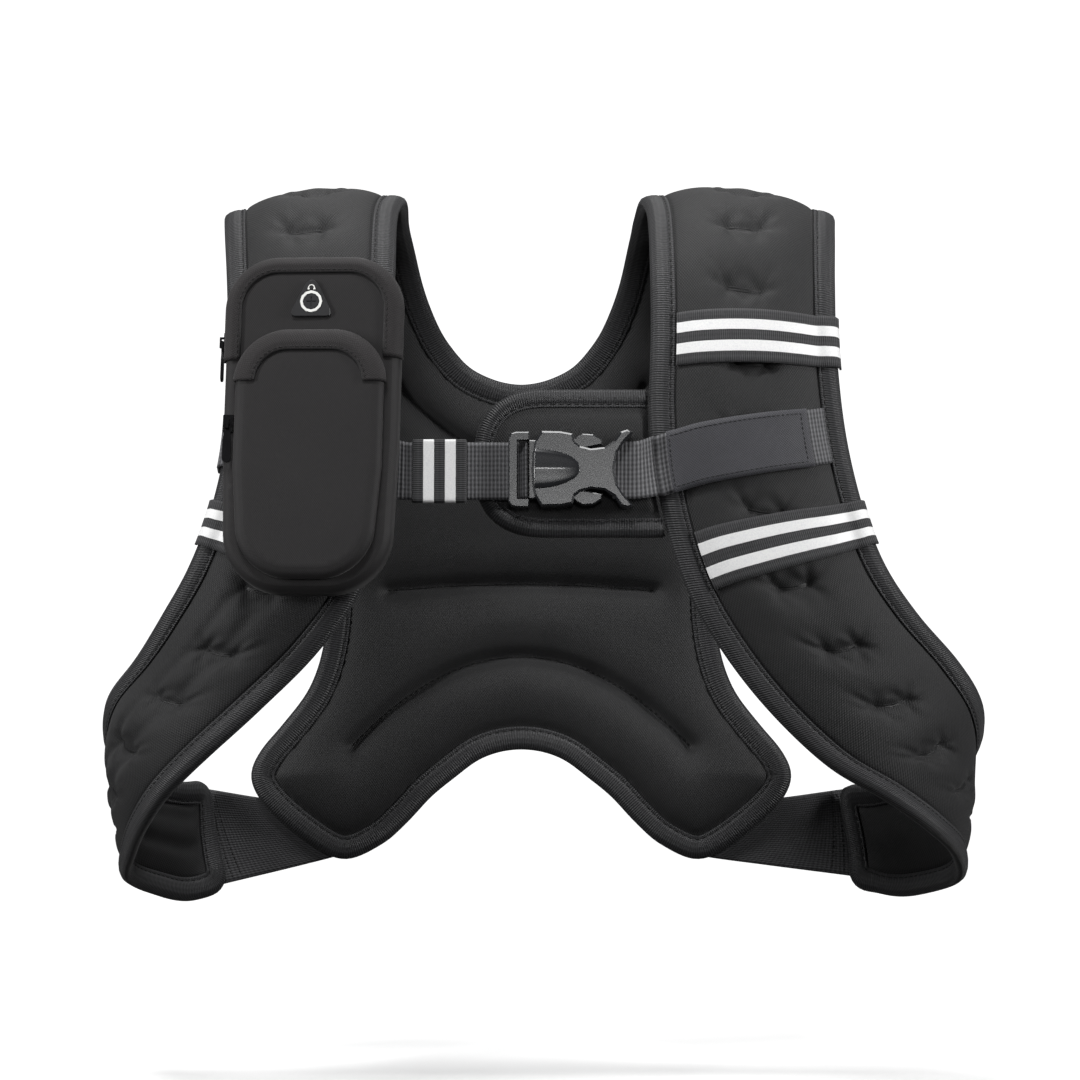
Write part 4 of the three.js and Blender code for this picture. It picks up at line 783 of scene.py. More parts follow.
def colour(code: str) -> tuple[float, float, float, float]:
    """An sRGB hex colour as the linear colour that shaders use."""
    values = [int(code[k : k + 2], 16) / 255 for k in (1, 3, 5)]
    linear = [v / 12.92 if v <= 0.04045 else ((v + 0.055) / 1.055) ** 2.4 for v in values]
    return (*linear, 1.0)


def add_node(
    tree: bpy.types.NodeTree, kind: str, settings: dict, values: dict, links: dict
) -> bpy.types.Node:
    """Adds one node.

    Args:
        tree: The material's node tree.
        kind: The node's type.
        settings: Its properties by name.
        values: Its unlinked inputs, by name or number.
        links: The output that each linked input takes, by name or number.

    Returns:
        The node.
    """
    node = tree.nodes.new(kind)
    for name, value in settings.items():
        setattr(node, name, value)
    for key, value in values.items():
        node.inputs[key].default_value = value
    for key, output in links.items():
        tree.links.new(output, node.inputs[key])
    return node


class Grain(Enum):
    """How a cloth's surface is made."""

    KNIT = "fine jersey face of laminated neoprene"
    RIB = "ribs square to the strip's length"
    CORD = "cords along the strip's length, bound by a fine cross thread"
    WEB = "coarse woven webbing"
    PLAIN = "close plain weave"
    MESH = "stippled stretch knit"


@dataclass(frozen=True)
class Cloth:
    """A textile, with its threads drawn from real spacings in mm on the piece's own cloth places."""

    name: str
    dark: str
    light: str
    grain: Grain
    spacing: float
    depth: float = 0.12
    roughness: float = 0.75
    sheen: float = 0.3
    mottle: float = 0.5

    def threads(self, tree: bpy.types.NodeTree) -> bpy.types.NodeSocket:
        """The height of the thread pattern, from 0 to 1.

        A wave texture repeats every 0.314 of its scaled place, so its scale is 0.314 over the spacing.
        """
        uv = add_node(tree, "ShaderNodeUVMap", {"uv_map": "cloth"}, {}, {})
        fray = add_node(
            tree, "ShaderNodeTexNoise", {}, {"Scale": 0.35, "Detail": 2.0}, {"Vector": uv.outputs[0]}
        )
        spread = {
            Grain.KNIT: ((0.62, 1.0), (-0.62, 1.0)),
            Grain.RIB: ((0.0, 1.0), (np.pi / 2, 0.45)),
            Grain.CORD: ((np.pi / 2, 1.0), (0.0, 0.8)),
            Grain.WEB: ((0.0, 1.0), (np.pi / 2, 0.8)),
            Grain.PLAIN: ((0.78, 1.0), (-0.78, 1.0)),
            Grain.MESH: ((0.5, 1.0), (-0.9, 1.1)),
        }[self.grain]
        waves = []
        for turn, rate in spread:
            turned = add_node(
                tree, "ShaderNodeMapping", {}, {"Rotation": (0.0, 0.0, turn)}, {"Vector": uv.outputs[0]}
            )
            warp = 0.6 if self.grain in (Grain.MESH, Grain.KNIT) else 0.15
            waves.append(add_node(
                tree, "ShaderNodeTexWave", {"wave_profile": "SIN"},
                {
                    "Scale": 0.31416 / self.spacing * rate, "Distortion": warp,
                    "Detail": 2.0, "Detail Scale": 3.0,
                },
                {"Vector": turned.outputs[0]},
            ))
        share = {Grain.RIB: 0.22, Grain.CORD: 0.35, Grain.WEB: 0.3}.get(self.grain, 0.5)
        both = add_node(
            tree, "ShaderNodeMix", {"data_type": "FLOAT"}, {"Factor": share},
            {"A": waves[0].outputs["Fac"], "B": waves[1].outputs["Fac"]},
        )
        return add_node(
            tree, "ShaderNodeMath", {"operation": "MULTIPLY_ADD"}, {1: 0.25},
            {0: fray.outputs["Fac"], 2: both.outputs[0]},
        ).outputs[0]

    def paint(self, tree: bpy.types.NodeTree, height: bpy.types.NodeSocket) -> bpy.types.NodeSocket:
        """The cloth's colour: lighter on the crown of each thread, with slow mottling of the dye and lint."""
        place = add_node(tree, "ShaderNodeTexCoord", {}, {}, {})
        slow = add_node(
            tree, "ShaderNodeTexNoise", {}, {"Scale": 38.0, "Detail": 4.0, "Roughness": 0.6},
            {"Vector": place.outputs["Object"]},
        )
        amount = add_node(
            tree, "ShaderNodeMath", {"operation": "MULTIPLY_ADD"}, {1: self.mottle},
            {0: slow.outputs["Fac"], 2: height},
        )
        ramp = add_node(
            tree, "ShaderNodeMapRange", {}, {"From Min": 0.2, "From Max": 1.3}, {"Value": amount.outputs[0]}
        )
        return add_node(
            tree, "ShaderNodeMix", {"data_type": "RGBA"}, {"A": colour(self.dark), "B": colour(self.light)},
            {"Factor": ramp.outputs[0]},
        ).outputs[2]

    def build(self) -> bpy.types.Material:
        """The material."""
        material = bpy.data.materials.new(self.name)
        material.use_nodes = True
        tree = material.node_tree
        shader = tree.nodes["Principled BSDF"]
        height = self.threads(tree)
        tree.links.new(self.paint(tree, height), shader.inputs["Base Color"])
        bump = add_node(
            tree, "ShaderNodeBump", {}, {"Strength": 0.9, "Distance": self.depth * MM}, {"Height": height}
        )
        tree.links.new(bump.outputs[0], shader.inputs["Normal"])
        rough = add_node(
            tree, "ShaderNodeMapRange", {}, {"To Min": self.roughness + 0.1, "To Max": self.roughness - 0.08},
            {"Value": height},
        )
        tree.links.new(rough.outputs[0], shader.inputs["Roughness"])
        shader.inputs["Sheen Weight"].default_value = self.sheen
        shader.inputs["Sheen Roughness"].default_value = 0.45
        shader.inputs["Specular IOR Level"].default_value = 0.35
        return material


@dataclass(frozen=True)
class StripedCloth(Cloth):
    """A ribbed elastic with two strips of silver reflective film laminated along it."""

    film: str = "#f4f4f2"
    centres: tuple[float, float] = (-5.6, 5.6)
    film_wide: float = 5.6

    def build(self) -> bpy.types.Material:
        """The elastic with the film laid over it where the cloth place is within a stripe."""
        material = super().build()
        tree = material.node_tree
        shader = tree.nodes["Principled BSDF"]
        uv = add_node(tree, "ShaderNodeUVMap", {"uv_map": "cloth"}, {}, {})
        parts = add_node(tree, "ShaderNodeSeparateXYZ", {}, {}, {0: uv.outputs[0]})
        masks = []
        for centre in self.centres:
            off = add_node(
                tree, "ShaderNodeMath", {"operation": "SUBTRACT"}, {1: centre}, {0: parts.outputs[1]}
            )
            size = add_node(tree, "ShaderNodeMath", {"operation": "ABSOLUTE"}, {}, {0: off.outputs[0]})
            masks.append(add_node(
                tree, "ShaderNodeMapRange", {},
                {"From Min": self.film_wide / 2 + 0.12, "From Max": self.film_wide / 2 - 0.12},
                {"Value": size.outputs[0]},
            ))
        mask = add_node(
            tree, "ShaderNodeMath", {"operation": "MAXIMUM"}, {},
            {0: masks[0].outputs[0], 1: masks[1].outputs[0]},
        )
        bead = add_node(tree, "ShaderNodeTexVoronoi", {}, {"Scale": 1.6}, {"Vector": uv.outputs[0]})
        shade = add_node(
            tree, "ShaderNodeMix", {"data_type": "RGBA"},
            {"A": colour(self.film), "B": colour("#e2e2e4")}, {"Factor": bead.outputs["Distance"]},
        )
        base = shader.inputs["Base Color"].links[0].from_socket
        painted = add_node(
            tree, "ShaderNodeMix", {"data_type": "RGBA"}, {},
            {"Factor": mask.outputs[0], "A": base, "B": shade.outputs[2]},
        )
        tree.links.new(painted.outputs[2], shader.inputs["Base Color"])
        bump = shader.inputs["Normal"].links[0].from_node
        cloth_height = bump.inputs["Height"].links[0].from_socket
        film_height = add_node(
            tree, "ShaderNodeMath", {"operation": "MULTIPLY_ADD"}, {1: 0.06, 2: 2.0},
            {0: bead.outputs["Distance"]},
        )
        height = add_node(
            tree, "ShaderNodeMix", {"data_type": "FLOAT"}, {},
            {"Factor": mask.outputs[0], "A": cloth_height, "B": film_height.outputs[0]},
        )
        tree.links.new(height.outputs[0], bump.inputs["Height"])
        rough = add_node(
            tree, "ShaderNodeMix", {"data_type": "FLOAT"}, {"B": 0.42},
            {"Factor": mask.outputs[0], "A": shader.inputs["Roughness"].links[0].from_socket},
        )
        tree.links.new(rough.outputs[0], shader.inputs["Roughness"])
        return material


@dataclass(frozen=True)
class Moulded:
    """A moulded or cast part with a fine even texture from its mould, and paler rubbed spots."""

    name: str
    dark: str
    light: str
    grit: float
    depth: float
    roughness: float
    metallic: float = 0.0
    coat: float = 0.0

    def build(self) -> bpy.types.Material:
        """The material: grit as bump, and a slow variation of colour and gloss."""
        material = bpy.data.materials.new(self.name)
        material.use_nodes = True
        tree = material.node_tree
        shader = tree.nodes["Principled BSDF"]
        place = add_node(tree, "ShaderNodeTexCoord", {}, {}, {})
        grit = add_node(
            tree, "ShaderNodeTexNoise", {}, {"Scale": 1 / (self.grit * MM), "Detail": 3.0},
            {"Vector": place.outputs["Object"]},
        )
        slow = add_node(
            tree, "ShaderNodeTexNoise", {}, {"Scale": 120.0, "Detail": 3.0},
            {"Vector": place.outputs["Object"]},
        )
        paint = add_node(
            tree, "ShaderNodeMix", {"data_type": "RGBA"}, {"A": colour(self.dark), "B": colour(self.light)},
            {"Factor": slow.outputs["Fac"]},
        )
        tree.links.new(paint.outputs[2], shader.inputs["Base Color"])
        rough = add_node(
            tree, "ShaderNodeMapRange", {},
            {"To Min": self.roughness - 0.07, "To Max": self.roughness + 0.07},
            {"Value": grit.outputs["Fac"]},
        )
        tree.links.new(rough.outputs[0], shader.inputs["Roughness"])
        bump = add_node(
            tree, "ShaderNodeBump", {}, {"Strength": 0.6, "Distance": self.depth * MM},
            {"Height": grit.outputs["Fac"]},
        )
        tree.links.new(bump.outputs[0], shader.inputs["Normal"])
        shader.inputs["Metallic"].default_value = self.metallic
        shader.inputs["Coat Weight"].default_value = self.coat
        return material


@dataclass
class Finishes:
    """Every finish of the vest, built once."""

    made: dict[str, bpy.types.Material] = field(default_factory=dict)

    def __post_init__(self) -> None:
        """Builds each material."""
        kinds = (
            # Neoprene foam with a nylon jersey face: matt and dark, with a soft sheen along its curves.
            # The knit is drawn at 1.1 mm, about twice the real loop, so that it shows.
            Cloth("neoprene_jersey", "#0a0a0b", "#272728", Grain.KNIT, 1.1, 0.2, 0.66, 0.08),
            # Polyester binding tape, woven with cross ribs: slightly glossier than the cloth.
            Cloth("ribbed_binding_tape", "#0b0b0c", "#363638", Grain.RIB, 1.3, 0.32, 0.52, 0.08),
            # Woven side elastic: rubber cords along it, bound by a fine nylon thread.
            Cloth("woven_elastic", "#151516", "#48484a", Grain.CORD, 1.5, 0.25, 0.7, 0.08),
            # Polyester webbing: coarse, with bright floats where the warp passes over.
            Cloth("polyester_webbing", "#0b0b0c", "#666669", Grain.WEB, 2.0, 0.4, 0.55, 0.1),
            # Ribbed elastic that carries the reflective film.
            StripedCloth("reflective_elastic", "#161617", "#404042", Grain.RIB, 1.1, 0.2, 0.7, 0.1),
            # Closely woven nylon cloth of the sewn patch.
            Cloth("patch_weave", "#232326", "#47474c", Grain.PLAIN, 1.0, 0.12, 0.65, 0.12),
            # Thin neoprene with a smooth face: warm dark grey, almost no grain.
            Cloth("pouch_neoprene", "#131213", "#222021", Grain.KNIT, 0.9, 0.05, 0.7, 0.1, 0.4),
            # Stretch knit of the zip guards: fine pale stipple on warm black.
            Cloth("guard_knit", "#0f0e0f", "#292627", Grain.MESH, 1.1, 0.14, 0.75, 0.1, 0.6),
            # Bonded nylon sewing thread.
            Cloth("sewing_thread", "#060607", "#171718", Grain.RIB, 0.6, 0.05, 0.5, 0.05),
            # Moulded acetal: dark grey with an even satin gloss.
            Moulded("acetal", "#191a1c", "#242528", 0.5, 0.004, 0.27, coat=0.5),
            # Silicone rubber of the cable port.
            Moulded("port_rubber", "#1c1c1e", "#2a2a2c", 0.4, 0.03, 0.42),
            # White screen ink.
            Moulded("white_ink", "#ecece8", "#f8f8f5", 0.3, 0.01, 0.5),
            # Zinc casting under black lacquer.
            Moulded("black_zinc", "#0c0c0d", "#17171a", 0.5, 0.02, 0.32, 0.5, 0.3),
        )
        for kind in kinds:
            self.made[kind.name] = kind.build()

    def dress(self, piece: bpy.types.Object, name: str, slot: str | None = None) -> None:
        """Gives a piece its material."""
        piece.data.materials.clear()
        piece.data.materials.append(self.made[name])


@dataclass
class Workshop:
    """What every sub-assembly needs: the finishes and the way a piece is handed over to the frame."""

    finishes: Finishes

    def finish_piece(
        self, shell: Shell, name: str, finish: str, slot: str, replaced: tuple[str, ...] = ()
    ) -> bpy.types.Object:
        """Makes a piece from its shell, dresses it, and lets it ride on the vest.

        Args:
            shell: The gathered surface, in mm.
            name: The piece's name.
            finish: The name of its finish.
            slot: The record's material slot; not used.
            replaced: CAD nodes that it stands for.

        Returns:
            The piece.
        """
        piece = shell.to_object(name)
        self.finishes.dress(piece, finish, slot)
        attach(piece, "vest")
        if replaced:
            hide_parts(*replaced)
        log.info("%s: %d points, %d faces", name, len(piece.data.vertices), len(piece.data.polygons))
        return piece

    def declare_sheet(self, piece: bpy.types.Object, width: float, length: float, rests: list[str]) -> None:
        """Takes a strip of cloth, its flat size and what it lies on, and does nothing with them.

        Args:
            piece: The strip; not used.
            width: Its flat width, in mm; not used.
            length: Its flat length, in mm; not used.
            rests: The pieces that it lies on; not used.
        """


@dataclass
class PaddedBody:
    """The vest's padded body: the back panel and the two straps."""

    shop: Workshop
    back: BackShape
    right: StrapShape
    left: StrapShape
    along: float = 1.7
    shares: int = 64
    fill_pitch: float = 2.4
    puff: float = 12.0

    def strap_grid(self, strap: StrapShape) -> tuple[Array, Array, Array]:
        """Front and back grids of a strap and its flat places.

        Rows follow the length, then three more round the end. Columns are the inner flange, the stuffed
        middle with cosine spacing, and the outer flange. The end's corners are drawn in to quarter rounds.

        Args:
            strap: The strap.

        Returns:
            The outer grid, the inner grid and the flat places.
        """
        lengths = np.linspace(0, strap.tail, round(strap.tail / self.along))
        t = np.linspace(0, 1, self.shares)
        shares = 0.5 - 0.5 * np.cos(np.pi * (0.06 + 0.88 * t))
        shares = (shares - shares[0]) / (shares[-1] - shares[0])
        grid_length, grid_share = np.meshgrid(lengths, shares, indexing="ij")
        at, normal, width = strap.middle(grid_length, grid_share)
        half = strap.half(grid_length, grid_share, width)
        a, b = strap.stations(lengths)
        steps = np.array([0, 0.4, 0.8])
        flange_a = a.at[:, None] + a.inward[:, None] * (steps * FLANGE_WIDE)[:, None]
        flange_b = b.at[:, None] + b.inward[:, None] * (steps[::-1] * FLANGE_WIDE)[:, None]
        flat_a, flat_b = (np.repeat(edge.normal[:, None], 3, axis=1) for edge in (a, b))
        at = np.concatenate([flange_a, at, flange_b], axis=1)
        normal = np.concatenate([flat_a, normal, flat_b], axis=1)
        edge = np.full((len(lengths), 3), FLANGE_HALF)
        half = np.concatenate([edge, half, edge], axis=1)
        away = (grid_share - 0.5) * width
        wide = width[:, :1] / 2
        side_a = -wide - FLANGE_WIDE * (1 - steps)
        side_b = wide + FLANGE_WIDE * (1 - steps[::-1])
        across = np.concatenate([side_a, away, side_b], axis=1)
        out = square_to(at[-1] - at[-4], normal[-1])
        reach = np.zeros(at.shape[1])
        reach[:3] = 1 - steps
        reach[-3:] = 1 - steps[::-1]
        inner = np.concatenate([np.repeat(at[-1:, 3], 3, 0), at[-1, 3:-3], np.repeat(at[-1:, -4], 3, 0)])
        rows, places = [], []
        for share in (0.35, 0.7, 1.0):
            round_off = np.maximum(reach, share) / np.hypot(reach, share)
            square = (at[-1] - inner) + out * share * FLANGE_WIDE
            rows.append(inner + square * round_off[:, None])
            places.append(lengths[-1] + share * FLANGE_WIDE)
        count = at.shape[1]
        at = np.concatenate([at, np.array(rows)])
        normal = np.concatenate([normal, np.repeat(normal[-1:], 3, axis=0)])
        half = np.concatenate([half, np.full((3, count), FLANGE_HALF)])
        across = np.concatenate([across, np.repeat(across[-1:], 3, axis=0)])
        run = np.concatenate([lengths, places])
        flat = np.stack([across, np.repeat(run[:, None], count, axis=1)], -1)
        return at + normal * half[..., None], at - normal * half[..., None], flat

    def strap(self, strap: StrapShape, name: str) -> None:
        """One padded strap."""
        shell = Shell()
        shell.add_sheet(*self.strap_grid(strap))
        piece = self.shop.finish_piece(shell, f"{name}_cloth", "neoprene_jersey", "neoprene", (name,))

    def tack_threads(self) -> None:
        """The sewn bars of the tacks on the outer face: short ridges of close satin stitches."""
        shell = Shell()
        for strap in (self.right, self.left):
            for place, offset, tilt, _ in strap.tacks:
                x, y = np.meshgrid(np.linspace(-9, 9, 37), np.linspace(-1.1, 1.1, 7), indexing="ij")
                hump = np.sqrt(np.clip(1.02 - (y / 1.1) ** 2, 0, 1))
                hump = hump * np.sqrt(np.clip(1.01 - (x / 9) ** 8, 0, 1))
                bow = y - 0.018 * x**2
                away = offset + x * np.cos(tilt) - bow * np.sin(tilt)
                lengths = place + x * np.sin(tilt) + bow * np.cos(tilt)
                width = strap.middle(lengths, np.full(x.shape, 0.5))[2]
                shares = 0.5 + away / width
                at, normal, width = strap.middle(lengths, shares)
                half = strap.half(lengths, shares, width)
                thread = 0.12 * np.abs(np.sin(x * np.pi / 0.55))
                front = at + normal * (half + (0.35 + thread) * hump - 0.05)[..., None]
                shell.add_sheet(front, at + normal * (half - 0.4)[..., None], np.stack([x, y], -1))
        self.shop.finish_piece(shell, "bar_tacks", "sewing_thread", "edge_tape")

    def panel(self) -> None:
        """The back panel: the filled outline of its bound edge, stuffed between its sewn lines."""
        neck, outer = self.back.neck_stations(), self.back.lower_stations()
        top = np.linspace(0, 1, 42)[1:-1, None]
        gap = np.array([0, 0.2])
        neck_line = neck.flat + gap * (neck.flat[:, 1:] < 0.5)
        outer_line = outer.flat + gap * (outer.flat[:, 1:] < 0.5)
        left_seam = neck_line[-1] + (outer_line[0] - neck_line[-1]) * top
        right_seam = outer_line[-1] + (neck_line[0] - outer_line[-1]) * top
        thin = slice(None, None, 2)
        outline = np.vstack([neck_line[thin], left_seam, outer_line[thin], right_seam])[::-1]
        seams = self.seams()

        def half_at(flat: Array) -> Array:
            """Half thickness: thin along the edge, round inside it, drawn down along each sewn line."""
            bound = np.minimum(distance_to(flat, neck_line), distance_to(flat, outer_line)) - FLANGE_WIDE
            open_edge = np.minimum(distance_to(flat, left_seam), distance_to(flat, right_seam))
            edge = np.clip(np.minimum(bound, open_edge), 0, 34) / 34
            swell = np.sin(np.pi / 2 * edge) ** 0.62
            away = np.min([distance_to(flat, seam) for seam in seams], axis=0)
            sewn = 0.5 * np.exp(-((away / 12) ** 2)) + 0.55 * np.exp(-((away / 3.6) ** 2))
            wave = 0.05 * np.sin(flat[:, 0] / 5 + flat[:, 1] / 19) * np.exp(-away / 12)
            slow = 0.05 * np.sin(flat[:, 0] / 31 + 1) * np.sin(flat[:, 1] / 23)
            return FLANGE_HALF + (self.puff - FLANGE_HALF) * swell * (1 - sewn + wave + slow)

        shell = Shell()
        plate = Relief([outline], np.array([[0.0, 0.0], [0.0, 1.0]]), self.fill_pitch)
        plate.build(np.eye(4), shell)
        flats, heights = np.concatenate(shell.points)[:, [0, 2]], -np.concatenate(shell.points)[:, 1]
        way = np.where(heights > 0.5, 1.0, -1.0)
        half = half_at(flats)
        at = self.back.point(flats[:, 0], flats[:, 1])
        normal = self.back.normal(flats[:, 0], flats[:, 1])
        shell.points = [at + normal * (way * half)[:, None]]
        piece = self.shop.finish_piece(
            shell, "back_panel_cloth", "neoprene_jersey", "neoprene", ("back_panel",)
        )
        sewing = Shell()
        for seam in seams:
            lifts = half_at(seam) + 0.1
            for way in (-1, 1):
                normals = self.back.normal(seam[:, 0], seam[:, 1]) * way
                line = self.back.point(seam[:, 0], seam[:, 1]) + normals * lifts[:, None]
                add_cord(sewing, line, normals, 0.6)
                threads(line + normals * 0.45, normals, pitch=3.6, long=2.9, radius=0.36, shell=sewing)
        self.shop.finish_piece(sewing, "back_panel_stitching", "sewing_thread", "edge_tape")

    @staticmethod
    def seams() -> list[Array]:
        """The sewn lines of the back, as x and length down: the arch, the waist line and the yoke."""
        t = np.linspace(-1, 1, 61)
        return [
            np.stack([t * 0.63 * BACK_HALF, BACK_DROP * (0.708 + 0.134 * t**2)], -1),
            np.stack([t * 0.5 * BACK_HALF, BACK_DROP * (0.6 + 0.01 * t**2)], -1),
            np.stack([t * 0.46 * BACK_HALF, BACK_DROP * (0.41 - 0.11 * t**2)], -1),
        ]

    def build(self) -> None:
        """Builds the body's three padded parts and their tacks."""
        self.strap(self.right, "strap_right")
        self.strap(self.left, "strap_left")
        self.tack_threads()
        self.panel()


@dataclass
class EdgeTape:
    """Ribbed binding tape folded over an edge, with its row of stitches on both faces.

    The section runs from the inner lip over the front, round the edge and back: distance in, then height.
    """

    shop: Workshop
    wide: float = TAPE_WIDE
    low: float = FLANGE_HALF
    stitch_in: float = 1.9

    def section(self) -> Array:
        """The closed section: a soft crown between the stitched groove and the round outer edge."""
        w, s, h = self.wide, self.stitch_in, self.low
        front = np.array([
            [w, h + 0.05], [w + 0.05, h + 0.75], [w - 0.5, h + 1.05], [w - s + 0.7, h + 0.95],
            [w - s, h + 0.55], [w - s - 0.7, h + 1.0], [w - s - 2, h + 1.45], [w * 0.4, h + 1.65],
            [w * 0.14, h + 1.4], [-0.9, h + 0.5], [-2.0, h * 0.62], [-2.5, 0.0],
        ])
        back = front[:-1][::-1] * [1, -1]
        return np.vstack([front, back, [[-0.2, -h + 0.1], [-0.2, h - 0.1]]])

    def build(self, stations: Stations, closed: bool, name: str, node: str) -> None:
        """Carries the section along the stations and sews it down.

        Args:
            stations: The bound edge.
            closed: Whether it is a ring.
            name: The piece's name.
            node: The CAD node that it stands for.
        """
        run = stations.evened(2.6, closed)
        section = self.section()
        points = (
            run.at[:, None] + run.inward[:, None] * section[:, :1] + run.normal[:, None] * section[:, 1:]
        )
        around = lengths_of(np.vstack([section, section[:1]]))
        reach = lengths_of(np.vstack([run.at, run.at[:1]]) if closed else run.at)
        flat = np.stack(np.broadcast_arrays(reach[:, None], around[None]), -1)
        shell = Shell()
        shell.add_grid(points, flat, wrap_rows=closed, wrap_columns=True)
        if not closed:
            count = len(section)
            keys = np.arange(count)
            for base, order in ((0, keys[::-1]), ((len(run.at) - 1) * count, keys)):
                half = count // 2
                cap = [[base + a, base + b] for a, b in zip(order, order[::-1])][:half]
                quads = np.array([[*cap[k], *cap[k + 1][::-1]] for k in range(half - 1)])
                shell.add_faces(quads, np.zeros((len(quads), 4, 2)))
        self.shop.finish_piece(shell, name, "ribbed_binding_tape", "edge_tape", (node,))
        sewing = Shell()
        for way in (1, -1):
            height = self.low + 0.62
            line = run.at + run.inward * (self.wide - self.stitch_in) + run.normal * way * height
            normals = run.normal * way
            if closed:
                line, normals = np.vstack([line, line[:1]]), np.vstack([normals, normals[:1]])
            threads(line, normals, pitch=4.2, long=3.3, radius=0.33, shell=sewing)
        self.shop.finish_piece(sewing, f"{name}_stitching", "sewing_thread", "edge_tape")


@dataclass
class Trims:
    """Flat strips across the straps: reflective bands, chest webbing, its patch and the side elastics."""

    shop: Workshop
    back: BackShape
    right: StrapShape
    left: StrapShape
    chest: Array
    fan: float = 1.45

    def support(self, strap: StrapShape, lengths: Array, column: float, lift: float) -> Array:
        """Points at a height over the strap, where a column from 1 to 7 crosses the stuffed part.

        Columns 0 and 8 are the middle of the tape's edge, and -1 and 9 lie just past it.

        Args:
            strap: The strap.
            lengths: Lengths along it.
            column: The column.
            lift: Height over the strap.

        Returns:
            The points.
        """
        a, b = strap.stations(lengths)
        edge = a if column < 4 else b
        out = min(column, 8 - column)
        if out < 1:
            past_tape = {-1.0: (-2.9, 0.5), -0.5: (-1.7, 2.8), 0.0: (1.0, 4.0), 0.5: (5.6, 4.3)}
            inward, height = past_tape[out]
            return edge.at + edge.inward * inward + edge.normal * (height + lift)
        share = np.interp(column, np.arange(1, 8), [0, 0.14, 0.32, 0.5, 0.68, 0.86, 1])
        shares = np.full(len(lengths), share)
        at, normal, _ = strap.middle(lengths, shares)
        height = np.maximum(strap.full(lengths, shares), FLANGE_HALF + 1.0)
        return at + normal * (height + lift)[:, None]

    def strip(
        self, strap: StrapShape, ends: tuple[float, float], wide: float, lift: float, columns: Array
    ) -> list[Array]:
        """Lines over the width of a strip, one where its underside crosses each column of a strap.

        Args:
            strap: The strap it lies on.
            ends: Lengths along the strap of its middle line at the inner and the outer edge.
            wide: Width of the strip.
            lift: Height over the support.
            columns: The support columns it passes.

        Returns:
            The lines.
        """
        rows = ACROSS * wide
        lines = []
        for column in columns:
            middle = ends[0] + (ends[1] - ends[0]) * np.clip(column / 8, 0, 1)
            lines.append(self.support(strap, middle + rows, float(column), lift))
        return lines

    @staticmethod
    def sheet_shell(grid: Array, thick: float, wide: float, outward: Array) -> tuple[Shell, float]:
        """A strip of even thickness, with its length and width as flat places.

        Args:
            grid: Its underside, as rows over its width.
            thick: Its thickness.
            wide: Its flat width.
            outward: A direction out of its face.

        Returns:
            The shell and the strip's length.
        """
        normal = facing(grid, outward)
        reach = lengths_of(grid[len(grid) // 2])
        rows = np.linspace(-0.5, 0.5, len(grid)) * wide
        flat = np.stack(np.broadcast_arrays(reach[None], rows[:, None]), -1)
        shell = Shell()
        shell.add_sheet(grid + normal * thick, grid, flat)
        return shell, float(reach[-1])

    def ends(self, strap: StrapShape, inner: float, outer: float) -> tuple[float, float]:
        """Lengths along a strap where its edges pass two heights, given as shares of the drop."""
        return strap.length_at(0, inner * VEST_DROP), strap.length_at(1, outer * VEST_DROP)

    def band(self, strap: StrapShape, name: str, inner: float, outer: float) -> None:
        """One reflective band, sewn in at the inner tape and over the outer one."""
        columns = np.array([1, 2, 3, 4, 5, 6, 7, 7.5, 8, 8.5, 9])
        ends = self.ends(strap, inner, outer)
        lines = self.strip(strap, ends, BAND_WIDE, SEAT + 0.1, columns)
        grid = smoothed(np.array(lines), 8).transpose(1, 0, 2)
        outward = strap.stations(np.array([np.mean(ends)]))[0].normal[0]
        shell, length = self.sheet_shell(grid, BAND_THICK, BAND_WIDE, outward)
        piece = self.shop.finish_piece(
            shell, f"{name}_cloth", "reflective_elastic", "reflective_band", (name,)
        )
        self.shop.declare_sheet(piece, BAND_WIDE, length, [f"strap_{name.split('_')[-1]}_cloth"])

    def tail(self, side: int, spots: list[tuple[float, float, float]]) -> Array:
        """Webbing between the buckle and the strap, from spots (x, y, turn) in the chest frame."""
        rows = ACROSS[::-1] * WEB_WIDE
        lines = []
        for x, y, turn in spots:
            normal = np.array([np.sin(turn) * side, -np.cos(turn), 0])
            at = np.stack(np.broadcast_arrays(x, y, rows), -1) - normal * WEB_THICK / 2
            lines.append(moved(at, self.chest))
        return np.array(lines)

    def web(
        self, strap: StrapShape, name: str, spots: list[tuple[float, float, float]], columns: Array
    ) -> None:
        """Chest webbing: its free part at the buckle, then across the strap.

        Args:
            strap: The strap it crosses.
            name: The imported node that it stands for.
            spots: Its free part, as spots (x, y, turn) in the chest frame.
            columns: The support columns it passes.
        """
        ends = self.ends(strap, WEB_IN, WEB_OUT_RIGHT if strap.side > 0 else WEB_OUT_LEFT)
        lines = [*self.tail(strap.side, spots), *self.strip(strap, ends, WEB_WIDE, SEAT, columns)]
        if strap.side < 0:
            past_edge = 8
            way = unit(lines[-1] - lines[-2])
            lines.append(lines[-1] + way * past_edge)
        grid = smoothed(np.array(lines), 8).transpose(1, 0, 2)
        shell, length = self.sheet_shell(grid, WEB_THICK, WEB_WIDE, FORWARD)
        piece = self.shop.finish_piece(shell, f"{name}_cloth", "polyester_webbing", "webbing", (name,))
        side = "right" if strap.side > 0 else "left"
        self.shop.declare_sheet(piece, WEB_WIDE, length, [f"strap_{side}_cloth"])

